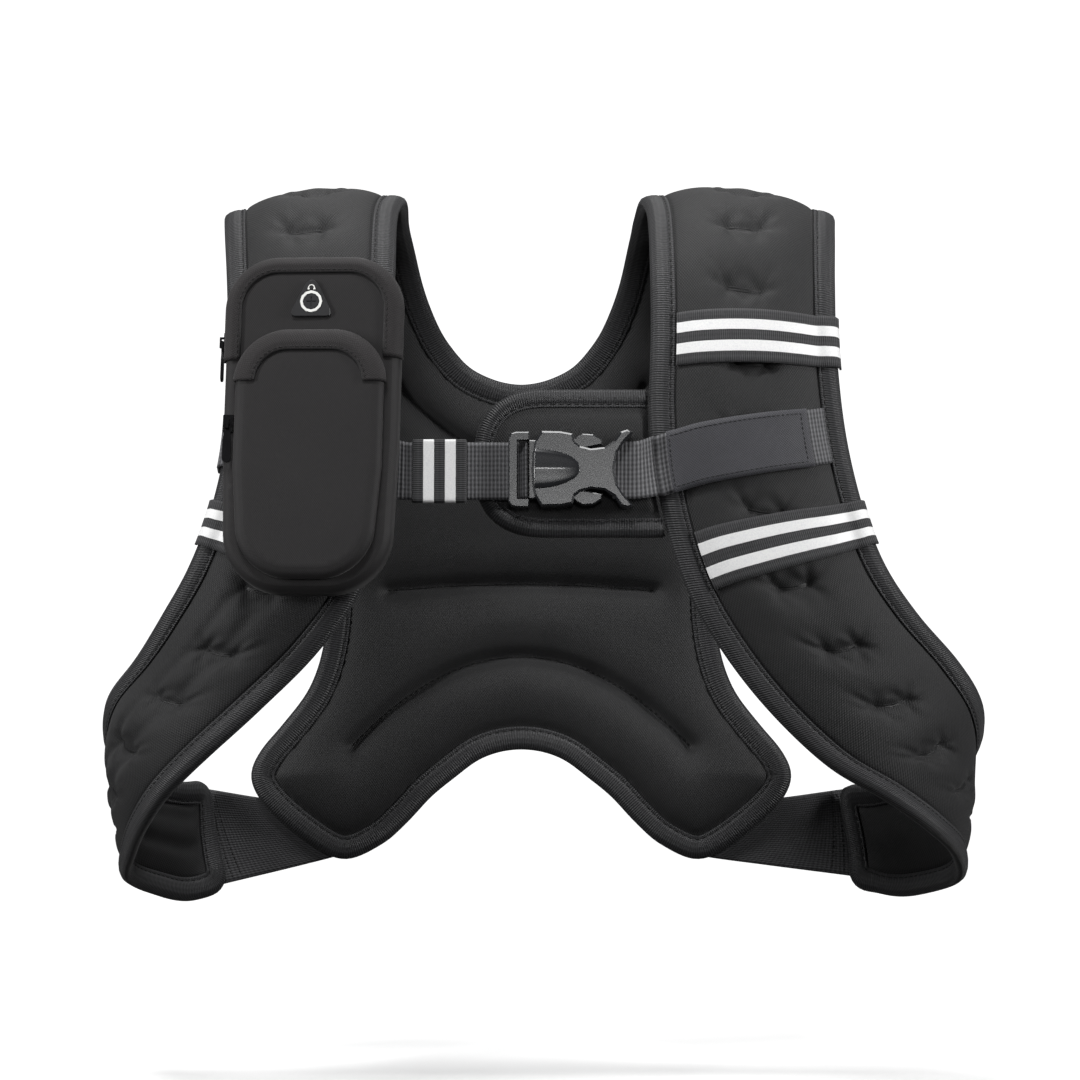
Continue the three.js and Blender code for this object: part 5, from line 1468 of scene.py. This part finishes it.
    def patch(self) -> None:
        """The cloth patch over the right webbing, with a row of stitches inside its edge."""
        ends = self.ends(self.right, WEB_IN, WEB_OUT_RIGHT)
        columns = np.array([0.5, 1, 2, 3, 4, 5, 6])
        wide = WEB_WIDE + 1
        lines = self.strip(self.right, ends, wide, 2 * SEAT + WEB_THICK, columns)
        grid = smoothed(np.array(lines), 8).transpose(1, 0, 2)
        shell, length = self.sheet_shell(grid, PATCH_THICK, wide, FORWARD)
        piece = self.shop.finish_piece(
            shell, "web_patch_cloth", "patch_weave", "patch_cloth", ("web_patch",)
        )
        self.shop.declare_sheet(piece, wide, length, ["chest_web_right_cloth"])
        normal = facing(grid, FORWARD)
        top = grid + normal * (PATCH_THICK + 0.02)

        def sewn_run(part: Array) -> Array:
            """The run round a grid, a little inside its edge."""
            return np.vstack([part[1, 2:-2], part[1:-1, -3], part[-2, 2:-2][::-1], part[1:-1, 2][::-1]])

        sewing = Shell()
        threads(sewn_run(top), sewn_run(normal), pitch=2.6, long=2.1, radius=0.24, shell=sewing)
        self.shop.finish_piece(sewing, "web_patch_stitching", "sewing_thread", "patch_cloth")

    def elastic(self, strap: StrapShape, name: str) -> None:
        """Side elastic from the lower lobe of the back to the end of a strap, on their outer faces."""
        lobe = self.back.lobe_stations(strap.side)
        ends = strap_end(strap)
        rows = np.linspace(0, 1, 25)
        spans, first, short = 9, 1.6, 2.9
        onto_lobe = (len(lobe.at) - 1) * (first + (spans - first - short) * rows) / spans
        margin, covered = 0.16, 0.68
        onto_end = (len(ends.at) - 1) * (1 - (margin + covered * rows))
        low, high = FLANGE_HALF + 1.1 + SEAT, FLANGE_HALF + 1.75 + SEAT
        lines = []
        for run, places, spots in (
            (lobe, onto_lobe, ((TAPE_WIDE, low), (5.0, high), (0.0, high - 0.3), (-3.0, high - 1.6))),
            (ends, onto_end, ((-3.0, high - 1.6), (0.0, high - 0.3), (5.0, high), (TAPE_WIDE, low))),
        ):
            at, inward, normal = (
                np.stack([np.interp(places, np.arange(len(part)), column) for column in part.T], -1)
                for part in (run.at, run.inward, run.normal)
            )
            normal = square_to(normal, unit(inward))
            if run is ends:
                at = at + (at - at.mean(axis=0)) * (self.fan - 1)
            lines += [at + inward * depth + normal * lift for depth, lift in spots]
        grid = smoothed(np.array(lines), 10).transpose(1, 0, 2)
        outward = np.array([strap.side * 0.5, 1.0, 0])
        wide = float(np.linalg.norm(np.diff(grid, axis=0), axis=-1).sum(axis=0).mean())
        shell, length = self.sheet_shell(grid, WEB_THICK, wide, outward)
        piece = self.shop.finish_piece(shell, f"{name}_cloth", "woven_elastic", "rib_elastic", (name,))
        sewing = Shell()
        inner = -facing(grid, outward)
        for column in (38, 39):
            threads(grid[1:-1, column], inner[1:-1, column], pitch=2.8, long=2.2, radius=0.28, shell=sewing)
        self.shop.finish_piece(sewing, f"{name}_stitching", "sewing_thread", "rib_elastic")

    def sleeve(self) -> None:
        """The striped sleeve on the left webbing: a flat round-cornered tube, with five lanes across."""
        x0, x1, middle = -82.6, -54.2, -6.4
        lip, rings = 0.6, 16
        turn = np.linspace(0, np.pi / 2, 6)
        arc = np.stack([np.cos(turn), np.sin(turn)], -1)

        def ring(half_thick: float, half_wide: float, radius: float) -> Array:
            """A round-cornered rectangle in even steps."""
            spot = np.array([half_thick - radius, half_wide - radius])
            signs = np.array([[1, 1], [-1, 1], [-1, -1], [1, -1]])
            turns = [arc * radius, arc[::-1] * radius, arc * radius, arc[::-1] * radius]
            loop = np.vstack([(spot + part) * sign for part, sign in zip(turns, signs)])
            return even_points(np.vstack([loop, loop[:1]]), 72)[:-1]

        outer, inner = ring(2.25, 16.6, 1.3), ring(1.25, 15.5, 0.6)
        run = np.linspace(lip, x1 - x0 - lip, rings) + x0
        places = np.concatenate([[x0], run, [x1], [x1 - 0.4], run[::-1], [x0 + 0.4]])
        shares = np.concatenate([[0.6], np.zeros(rings), [0.6], [1.0], np.ones(rings), [1.0]])
        section = outer[:, None] + (inner - outer)[:, None] * shares[:, None]
        along = np.broadcast_to(places, section.shape[:2])
        grid = np.stack([along, middle + section[..., 0], section[..., 1]], -1)
        around = lengths_of(np.vstack([outer, outer[:1]]))
        flat = np.stack(np.broadcast_arrays(around[:, None], np.append(places, x0) - (x0 + x1) / 2), -1)
        shell = Shell()
        shell.add_grid(moved(grid, self.chest), flat, wrap_rows=True, wrap_columns=True)
        piece = self.shop.finish_piece(
            shell, "web_sleeve_cloth", "reflective_elastic", "rib_elastic", ("web_sleeve",)
        )

    def build(self) -> None:
        """Builds every strip."""
        self.band(self.right, "band_upper_right", -0.19, -0.19)
        self.band(self.right, "band_lower_right", -0.51, -0.445)
        self.band(self.left, "band_lower_left", -0.51, -0.445)
        pad_half, pad_gap, buckle_half = 4, 0.5, 5.5
        y = -(pad_half + pad_gap + buckle_half)
        self.web(
            self.right, "chest_web_right", [(21, y, 0), (24, y, 0), (33, y, 0)],
            np.array([-0.5, 0, 0.5, 1, 2, 3, 4, 5, 6, 7]),
        )
        self.web(
            self.left, "chest_web_left",
            [(-22.7, y - 1, 0.6), (-24.4, y + 0.9, 0.75), (-27.2, y + 3.5, 0.4), (-33, y + 3.7, 0),
             (-54, y + 3.7, 0), (-84, y + 3.4, 0)],
            np.array([-0.5, 0, 0.5, 1, 2, 3, 4, 5, 6, 7, 7.5, 8, 8.5, 9]),
        )
        self.sleeve()
        self.patch()
        self.elastic(self.right, "elastic_right")
        self.elastic(self.left, "elastic_left")


def strap_end(strap: StrapShape) -> Stations:
    """Stations round the end of a strap: a quarter round at each corner and the straight end between.

    Args:
        strap: The strap.

    Returns:
        The stations from the inner to the outer edge.
    """
    tail = np.array([strap.tail])
    before = np.array([strap.tail - 5.0])
    count, corner = 31, 7
    shares = np.linspace(0, 1, count)
    at, normal, _ = strap.middle(np.repeat(tail, count), shares)
    earlier, _, _ = strap.middle(np.repeat(before, count), shares)
    out = square_to(at - earlier, normal)
    a, b = strap.stations(tail)
    turn = np.linspace(0, np.pi / 2, corner + 1)[:-1, None]
    corner_a = out[0] * np.sin(turn) - square_to(a.inward, normal[0]) * np.cos(turn)
    corner_b = out[-1] * np.cos(turn) - square_to(b.inward, normal[-1]) * np.sin(turn)
    way = np.vstack([corner_a, out, corner_b[1:]])

    def held_at_ends(rows: Array) -> Array:
        """Rows with the first and last repeated for the steps of the corners."""
        return np.vstack([np.repeat(rows[:1], corner, 0), rows, np.repeat(rows[-1:], corner - 1, 0)])

    pivot, normals = held_at_ends(at), held_at_ends(normal)
    return Stations(pivot + unit(way) * FLANGE_WIDE, -unit(way), normals)


def frame_matrix(turn_x: float, turn_z: float, place: tuple[float, float, float]) -> Array:
    """A frame turned first about x and then about z, set at a place, in mm."""
    cx, sx, cz, sz = np.cos(turn_x), np.sin(turn_x), np.cos(turn_z), np.sin(turn_z)
    about_x = np.array([[1, 0, 0], [0, cx, -sx], [0, sx, cx]])
    about_z = np.array([[cz, -sz, 0], [sz, cz, 0], [0, 0, 1]])
    made = np.eye(4)
    made[:3, :3] = about_z @ about_x
    made[:3, 3] = place
    return made


@dataclass
class Pouch:
    """Phone pouch on the left strap: its case, the raised pocket and the guards over both zips."""

    shop: Workshop
    wide: float = 91.0
    high: float = 176.0
    thick: float = 15.0
    pocket_thick: float = 7.0

    def outline(
        self, half: float, low: float, high: float, r_low: float, r_high: float, lean: float
    ) -> Array:
        """A round-cornered outline, from the foot up its left side and down the right.

        Args:
            half: Half its width at the head.
            low: Height of the foot.
            high: Height of the head.
            r_low: Radius of the lower corners.
            r_high: Radius of the upper corners.
            lean: How much narrower it gets towards the foot.

        Returns:
            The outline in even steps.
        """

        def wide_at(z: Array) -> Array:
            """Half the width at a height."""
            return half * (1 - lean * np.clip((high - z) / (high - low) - 0.55, 0, 1))

        def across(x: float, z: float) -> Array:
            """Points of the straight run at a height, from x to its mirror place."""
            return np.stack([np.linspace(x, -x, 22)[1:-1], np.full(20, z)], -1)

        turn = np.linspace(0, np.pi / 2, 22)
        foot_z = low + r_low - r_low * np.cos(turn)
        foot_x = -wide_at(foot_z) + r_low - r_low * np.sin(turn)
        side_z = np.linspace(low + r_low, high - r_high, 40)[1:-1]
        head_z = high - r_high + r_high * np.sin(turn)
        head_x = -wide_at(head_z) + r_high - r_high * np.cos(turn)
        left = np.vstack([
            np.stack([foot_x, foot_z], -1),
            np.stack([-wide_at(side_z), side_z], -1),
            np.stack([head_x, head_z], -1),
        ])
        right = left[::-1] * [-1, 1]
        loop = np.vstack([left, across(head_x[-1], high), right, across(-foot_x[0], low)])
        return even_points(np.vstack([loop, loop[:1]]), 230)[:-1]

    def place_of(self, loop: Array) -> Array:
        """The pouch's frame: its turns are known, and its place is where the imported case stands."""
        frame = frame_matrix(-0.19, -0.12, (0, 0, 0))
        levels = np.array([0.0, 4.0, 0.68 * self.thick])
        spots = np.array([[x, -h, z] for h in levels for x, z in loop])
        inner = Relief.inset(loop[::-1], 3.4)
        spots = np.vstack([spots, [[x, -self.thick, z] for x, z in inner]])
        turned = spots @ frame[:3, :3].T
        low, high = (np.array(corner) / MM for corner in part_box("pouch_body"))
        frame[:3, 3] = (low + high) / 2 - (turned.min(axis=0) + turned.max(axis=0)) / 2
        return frame

    def guard(
        self, loop: Array, ends: tuple[float, float], levels: Array, rim: float, place: Array
    ) -> tuple[Array, Array]:
        """The underside of a guard, a strip bent over the shoulder of a case, and the way out of it.

        Args:
            loop: The case's outline, up the left side and down the right.
            ends: Heights where the guard ends, on the left and on the right.
            levels: The last three levels of the case: inset and height.
            rim: How far down the side it reaches, from the case's face.
            place: The pouch's frame.

        Returns:
            The grid of the underside, along the outline and then across it, and the way out of its face.
        """
        top = levels[-1, 1]
        peak = int(np.argmax(loop[:, 1]))
        loop = np.roll(loop, len(loop) // 2 - peak, axis=0)
        half = len(loop) // 2
        keep = np.concatenate([loop[:half, 1] >= ends[0], loop[half:, 1] >= ends[1]])
        run = Relief.inset(loop[::-1], 1.0)[::-1] - loop
        loop, inward = loop[keep], run[keep]
        (a, low), (b, middle), (c, _) = levels[-3:] - [0, top]
        across = through(
            np.array([
                [a - SEAT, rim], [a - SEAT, (rim + low) / 2], [a - SEAT, low], [b - SEAT, middle + SEAT],
                [c, SEAT], [c + 2.2, SEAT + 0.05], [c + 4.4, SEAT],
            ]),
            np.linspace(0, 6, 25),
        )
        flat = loop[:, None] + inward[:, None] * across[:, :1]
        depth = np.broadcast_to(-(top + across[:, 1]), flat.shape[:2])
        grid = np.stack([flat[..., 0], depth, flat[..., 1]], -1)
        return moved(grid, place), place[:3, :3] @ FORWARD

    def sewn_edge(self, grid: Array, outward: Array, name: str, lift: float) -> None:
        """A dark corded seam and its stitches along a guard's inner edge."""
        line = grid[:, -3] + outward * lift
        normals = np.repeat(outward[None], len(line), axis=0)
        shell = Shell()
        add_cord(shell, grid[:, -1] + outward * 0.45, normals, 0.55)
        threads(line, normals, pitch=2.9, long=2.3, radius=0.24, shell=shell)
        self.shop.finish_piece(shell, name, "sewing_thread", "guard_cloth")

    def pictogram(self, place: Array) -> None:
        """The printed headphone sign above the port's ring: a bow and two ear pads."""
        low, high = (np.array(corner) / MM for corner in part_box("port_ring"))
        turned = place[:3, :3]
        centre = (low + high) / 2 + turned @ np.array([0, -0.25, 7.2])
        turn = np.linspace(0, np.pi, 17)
        bow = np.stack([1.5 * np.cos(turn), 0 * turn, 1.5 * np.sin(turn)], -1)
        shell = Shell()
        lines = [(bow, 0.3)]
        for x in (-1.5, 1.5):
            z = np.linspace(0.1, -1.2, 5)
            lines.append((np.stack([0 * z + x, 0 * z, z], -1), 0.55))
        for line, radius in lines:
            outward = np.repeat((turned @ FORWARD)[None], len(line), axis=0)
            add_cord(shell, line @ turned.T + centre, outward, radius)
        self.shop.finish_piece(shell, "port_pictogram", "white_ink", "port_print")

    def build(self) -> None:
        """Builds the pouch's cloth parts."""
        low, high = -self.high / 2, self.high / 2
        case = self.outline(self.wide / 2, low, high, r_low=31, r_high=27, lean=0.13)
        pocket = self.outline(
            0.423 * self.wide, low + 6.5, 0.27 * self.high, r_low=26, r_high=27, lean=0.26
        )
        place = self.place_of(case)
        t, p = self.thick, self.pocket_thick
        levels = np.array([[2.2, 0], [0.4, 1.2], [0, 4], [0, 0.68 * t], [1.2, 0.87 * t], [3.4, t]])

        def crown(spots: Array, away: Array) -> Array:
            """A slight crown of the face, with soft waves that run across it."""
            wave = 0.12 * np.sin(spots[:, 1] / 9 + spots[:, 0] / 23) + 0.1 * np.sin(spots[:, 0] / 14)
            return (0.3 + wave) * ease(away / 14)

        body = Relief([case[::-1]], smoothed(levels, 5), 2.4, crown).build(place)
        piece = self.shop.finish_piece(
            body, "pouch_body_cloth", "pouch_neoprene", "pouch_cloth", ("pouch_body",)
        )
        pocket_levels = np.array([
            [0, t + SEAT], [0, t + 0.5 * p], [2, t + 0.82 * p], [5.5, t + p],
        ])
        front = Relief([pocket[::-1]], smoothed(pocket_levels, 5), 2.2, crown).build(place)
        piece = self.shop.finish_piece(
            front, "pouch_pocket_cloth", "pouch_neoprene", "pouch_cloth", ("pouch_pocket",)
        )
        guards = (
            ("pouch_guard_main", case, (low + 0.69 * self.high,) * 2, levels, -7.0),
            ("pouch_guard_pocket", pocket, (0.27 * self.high - 27,) * 2, pocket_levels, -6.0),
        )
        for name, loop, ends, rows, rim in guards:
            grid, outward = self.guard(loop, ends, rows, rim, place)
            reach, across = lengths_of(grid[:, 12]), lengths_of(grid[len(grid) // 2])
            flat = np.stack(np.broadcast_arrays(reach[:, None], across[None]), -1)
            shell = Shell()
            shell.add_sheet(grid + facing(grid, outward), grid, flat)
            piece = self.shop.finish_piece(shell, f"{name}_cloth", "guard_knit", "guard_cloth", (name,))
            self.sewn_edge(grid, outward, f"{name}_seam", 1.02)
        self.pictogram(place)


@dataclass
class BucklePad:
    """The padded flap behind the buckle, with its own tape, ending at the right strap's inner edge."""

    shop: Workshop
    strap: StrapShape
    chest: Array
    half: float = 4.0

    def to_chest(self, point: Array) -> Array:
        """A point of the vest in the chest frame."""
        return (point - self.chest[:3, 3]) @ self.chest[:3, :3]

    def edge_x(self, z: float) -> float:
        """Where the flap ends at a height, just short of the strap's tape."""
        found = []
        for shift in (-5, 0, 5):
            world = self.chest[:3, :3] @ np.array([0, 0, z + shift]) + self.chest[:3, 3]
            length = self.strap.length_at(0, world[2])
            found.append(self.to_chest(self.strap.stations(np.array([length]))[0].at[0])[0])
        return min(found) - TAPE_OVER - 0.7

    def build(self) -> None:
        """Builds the flap and its tape."""
        origin = self.chest[:3, 3].copy()
        top = self.to_chest(np.array([origin[0], origin[1], -0.255 * VEST_DROP]))[2]
        low = self.to_chest(np.array([origin[0], origin[1], -0.465 * VEST_DROP]))[2]
        middle, rise = (top + low) / 2, (top - low) / 2
        centre, rounded = -13.0, 37.5
        turn = np.linspace(0, np.pi, 42)[1:-1]
        cosine = np.sign(np.cos(turn)) * np.abs(np.cos(turn)) ** 0.8
        nose = np.stack([centre - rounded * np.sin(turn) ** 0.8, middle + rise * cosine], -1)
        upper = np.stack([np.linspace(self.edge_x(top), centre, 24), np.full(24, top)], -1)
        under = np.stack([np.linspace(centre, self.edge_x(low), 24), np.full(24, low)], -1)
        heights = np.linspace(low, top, 24)[1:-1]
        butt = np.array([[self.edge_x(z), z] for z in heights])
        bound = even_points(np.vstack([upper, nose, under]), 110)
        outline = np.vstack([bound, butt])
        low_half = FLANGE_HALF - 0.6
        inset = 8.3

        def swell(spots: Array, away: Array) -> Array:
            """Flat under the tape, then a round rise to the padded middle, held down by one sewn line."""
            edge = distance_to(spots, bound)
            rise_in = np.sin(np.pi / 2 * np.clip((edge - inset) / 13, 0, 1)) ** 0.7
            line = np.exp(-(((edge - inset - 3.4) / 1.5) ** 2))
            end = ease(away / 4)
            return (self.half - low_half) * rise_in * end * (1 - 0.5 * line)

        def sunk(spots: Array, away: Array) -> Array:
            """The same rise on the inner face."""
            return -swell(spots, away)

        levels = np.array([
            [0.9, -low_half], [0.5, -low_half * 0.6], [0.5, low_half * 0.6], [0.9, low_half],
        ])
        shell = Relief([outline], levels, 1.7, swell, sunk).build(self.chest)
        piece = self.shop.finish_piece(
            shell, "buckle_pad_cloth", "neoprene_jersey", "neoprene", ("buckle_pad",)
        )
        way = unit(np.gradient(bound, axis=0))
        inward = np.stack([-way[:, 1], way[:, 0]], -1)
        at = bound + inward * TAPE_OVER
        turned = self.chest[:3, :3].T
        level = np.zeros(len(at))
        stations = Stations(
            moved(np.stack([at[:, 0], level, at[:, 1]], -1), self.chest),
            np.stack([inward[:, 0], level, inward[:, 1]], -1) @ turned,
            np.repeat((FORWARD @ turned)[None], len(at), axis=0),
        )
        EdgeTape(self.shop, inset - 0.9, low_half, 1.7).build(stations, False, "pad_tape", "pad_binding")


@dataclass
class BuckleDome:
    """The smooth fluted dome on the buckle's front, over the plain one of its frame."""

    shop: Workshop
    chest: Array
    half: float = 19.7

    def build(self) -> None:
        """Builds the dome: a quarter ellipsoid with shallow flutes that run to its tip."""
        axis, face, foot = -10.0, -5.5, -15.2
        t, turn = np.meshgrid(np.linspace(0.045, 1, 48), np.linspace(0, np.pi, 65), indexing="ij")
        girth = np.sqrt(np.clip(1 - t**2, 0, 1))
        flute = 0.22 * np.abs(np.sin(3.5 * (turn - np.pi / 2))) * ease(girth * 2) * np.sin(turn)
        x = (-1.03 + 1.25 * t) * self.half
        z = 10.6 * girth * np.cos(turn)
        front = face - (1.95 * np.sin(turn) - flute) * girth
        place = axis + front
        flat = np.stack([x, z], -1)
        top = np.stack([x, place, z], -1)
        under = np.stack([x, np.full(x.shape, foot), z], -1)
        shell = Shell()
        shell.add_sheet(moved(top, self.chest), moved(under, self.chest), flat)
        self.shop.finish_piece(shell, "buckle_dome", "acetal", "buckle_plastic")


@dataclass
class Studio:
    """Camera, soft lights and the pale floor."""

    floor_z: float = -0.47

    def camera(self) -> None:
        """A level long-lens view of the front, at the height of the vest's middle."""
        data = bpy.data.cameras.new("camera")
        data.lens = 135
        data.sensor_width = 36
        data.clip_start, data.clip_end = 0.05, 50
        made = bpy.data.objects.new("camera", data)
        made.location = (0.0106, -2.2, -0.173)
        made.rotation_euler = (np.pi / 2, 0, 0)
        bpy.context.scene.collection.objects.link(made)
        bpy.context.scene.camera = made

    def light(
        self, name: str, place: tuple[float, float, float], size: tuple[float, float], power: float
    ) -> None:
        """One soft area light that faces the vest.

        Args:
            name: Its name.
            place: Where it stands, in metres.
            size: Its width and height, in metres.
            power: Its power, in watts.
        """
        data = bpy.data.lights.new(name, "AREA")
        data.shape = "RECTANGLE"
        data.size, data.size_y = size
        data.energy = power
        made = bpy.data.objects.new(name, data)
        made.location = place
        made.rotation_euler = (Vector((0, 0, -0.15)) - Vector(place)).to_track_quat("-Z", "Y").to_euler()
        bpy.context.scene.collection.objects.link(made)

    def floor(self) -> None:
        """A pale floor that sweeps up behind the vest in one smooth curve, with a painted glow that is dimmer
        at the front and brighter towards the back.
        """
        turn = np.linspace(0, np.pi / 2, 24)
        y = np.concatenate([[-3.5, 2.5], 2.5 + 1.5 * np.sin(turn[1:]), [4.0]])
        z = np.concatenate([[0, 0], 1.5 - 1.5 * np.cos(turn[1:]), [4.5]]) + self.floor_z
        x = np.linspace(-5, 5, 3)
        grid = np.stack(np.broadcast_arrays(x[None], y[:, None], z[:, None]), -1)
        shell = Shell()
        shell.add_grid(grid / MM, np.zeros((*grid.shape[:2], 2)))
        made = shell.to_object("floor_sweep")
        material = bpy.data.materials.new("pale_floor")
        material.use_nodes = True
        shader = material.node_tree.nodes["Principled BSDF"]
        shader.inputs["Base Color"].default_value = colour("#f2f2f2")
        shader.inputs["Roughness"].default_value = 0.9
        # Painted light: the sweep glows white, dimmer near the front and brighter towards the back, as if
        # lamps lit it.
        shader.inputs["Emission Color"].default_value = (1, 1, 1, 1)
        tree = material.node_tree
        place = add_node(tree, "ShaderNodeTexCoord", {}, {}, {})
        depth = add_node(tree, "ShaderNodeSeparateXYZ", {}, {}, {0: place.outputs["Object"]})
        glow = add_node(
            tree, "ShaderNodeMapRange", {},
            {"From Min": 0.3, "From Max": 2.5, "To Min": 0.35, "To Max": 0.95},
            {"Value": depth.outputs[1]},
        )
        tree.links.new(glow.outputs[0], shader.inputs["Emission Strength"])
        made.data.materials.append(material)
        # The sweep is only seen: it throws no light on the vest.
        made.visible_diffuse = False
        made.visible_glossy = False

    def build(self) -> None:
        """Sets up the whole studio."""
        self.camera()
        self.floor()
        self.light("key", (-0.35, -1.0, 1.6), (0.5, 0.3), 21)
        self.light("left_strip", (-1.5, -0.6, 0.25), (0.22, 0.9), 17)
        self.light("right_strip", (1.5, -0.6, 0.25), (0.22, 0.9), 20)
        self.light("front_card", (0.15, -2.5, 0.45), (0.5, 0.25), 8)
        self.light("top", (0, 0.25, 1.4), (1.2, 0.5), 14)
        world = bpy.data.worlds.new("studio")
        world.use_nodes = True
        world.node_tree.nodes["Background"].inputs[0].default_value = (1, 1, 1, 1)
        world.node_tree.nodes["Background"].inputs[1].default_value = 0.05
        bpy.context.scene.world = world
        bpy.context.scene.view_settings.view_transform = "Standard"


def tacks_of(strap_side: int) -> Array:
    """The tacks of one strap: length along it, offset from the middle, tilt and depth of each."""
    count = 13
    k = np.arange(1, count)
    offset = 2.0 * np.sin(k * 1.7) * strap_side
    tilt = 0.08 * np.sin(k * 2.3)
    size = 1.0 - 0.15 * (k % 3 == 0)
    return np.stack([k * TACK_PITCH, offset, tilt, size], -1)


def main() -> None:
    """Builds the vest, piece by piece."""
    logging.basicConfig(level=logging.INFO, format="%(name)s %(message)s")
    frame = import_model()
    Studio().build()
    shop = Workshop(Finishes())
    back = BackShape()
    right = StrapShape(1, REACH_RIGHT, STRAP_RIGHT, 0.0, tacks_of(1), back)
    left = StrapShape(-1, REACH_LEFT, STRAP_LEFT, 0.35, tacks_of(-1), back)
    PaddedBody(shop, back, right, left).build()
    right_a, right_b = right.stations(np.arange(3, right.tail, 2.5))
    left_a, left_b = left.stations(np.arange(3, left.tail, 2.5))
    ring = Stations.joined([
        right_a.reversed(), back.neck_stations(), left_a, strap_end(left), left_b.reversed(),
        back.lower_stations(), right_b, strap_end(right).reversed(),
    ])
    EdgeTape(shop).build(ring, True, "edge_tape_ring", "edge_binding")
    chest = frame_matrix(-0.15, 0, (0.108 * REACH_RIGHT, -0.943 * FRONT_DEPTH, -0.374 * VEST_DROP))
    Trims(shop, back, right, left, chest).build()
    BucklePad(shop, right, chest).build()
    Pouch(shop).build()
    BuckleDome(shop, chest).build()
    for node, finish, slot in (
        ("buckle_female", "acetal", "buckle_plastic"),
        ("buckle_male", "acetal", "buckle_plastic"),
        ("cable_port", "port_rubber", "port_rubber"),
        ("port_ring", "white_ink", "port_print"),
        ("zip_slider_lower", "black_zinc", "zip_metal"),
        ("zip_slider_upper", "black_zinc", "zip_metal"),
        ("zip_pull_lower", "black_zinc", "zip_metal"),
        ("zip_pull_upper", "black_zinc", "zip_metal"),
    ):
        shop.finishes.dress(frame["nodes"][node], finish, slot)


if __name__ == "__main__":
    main()
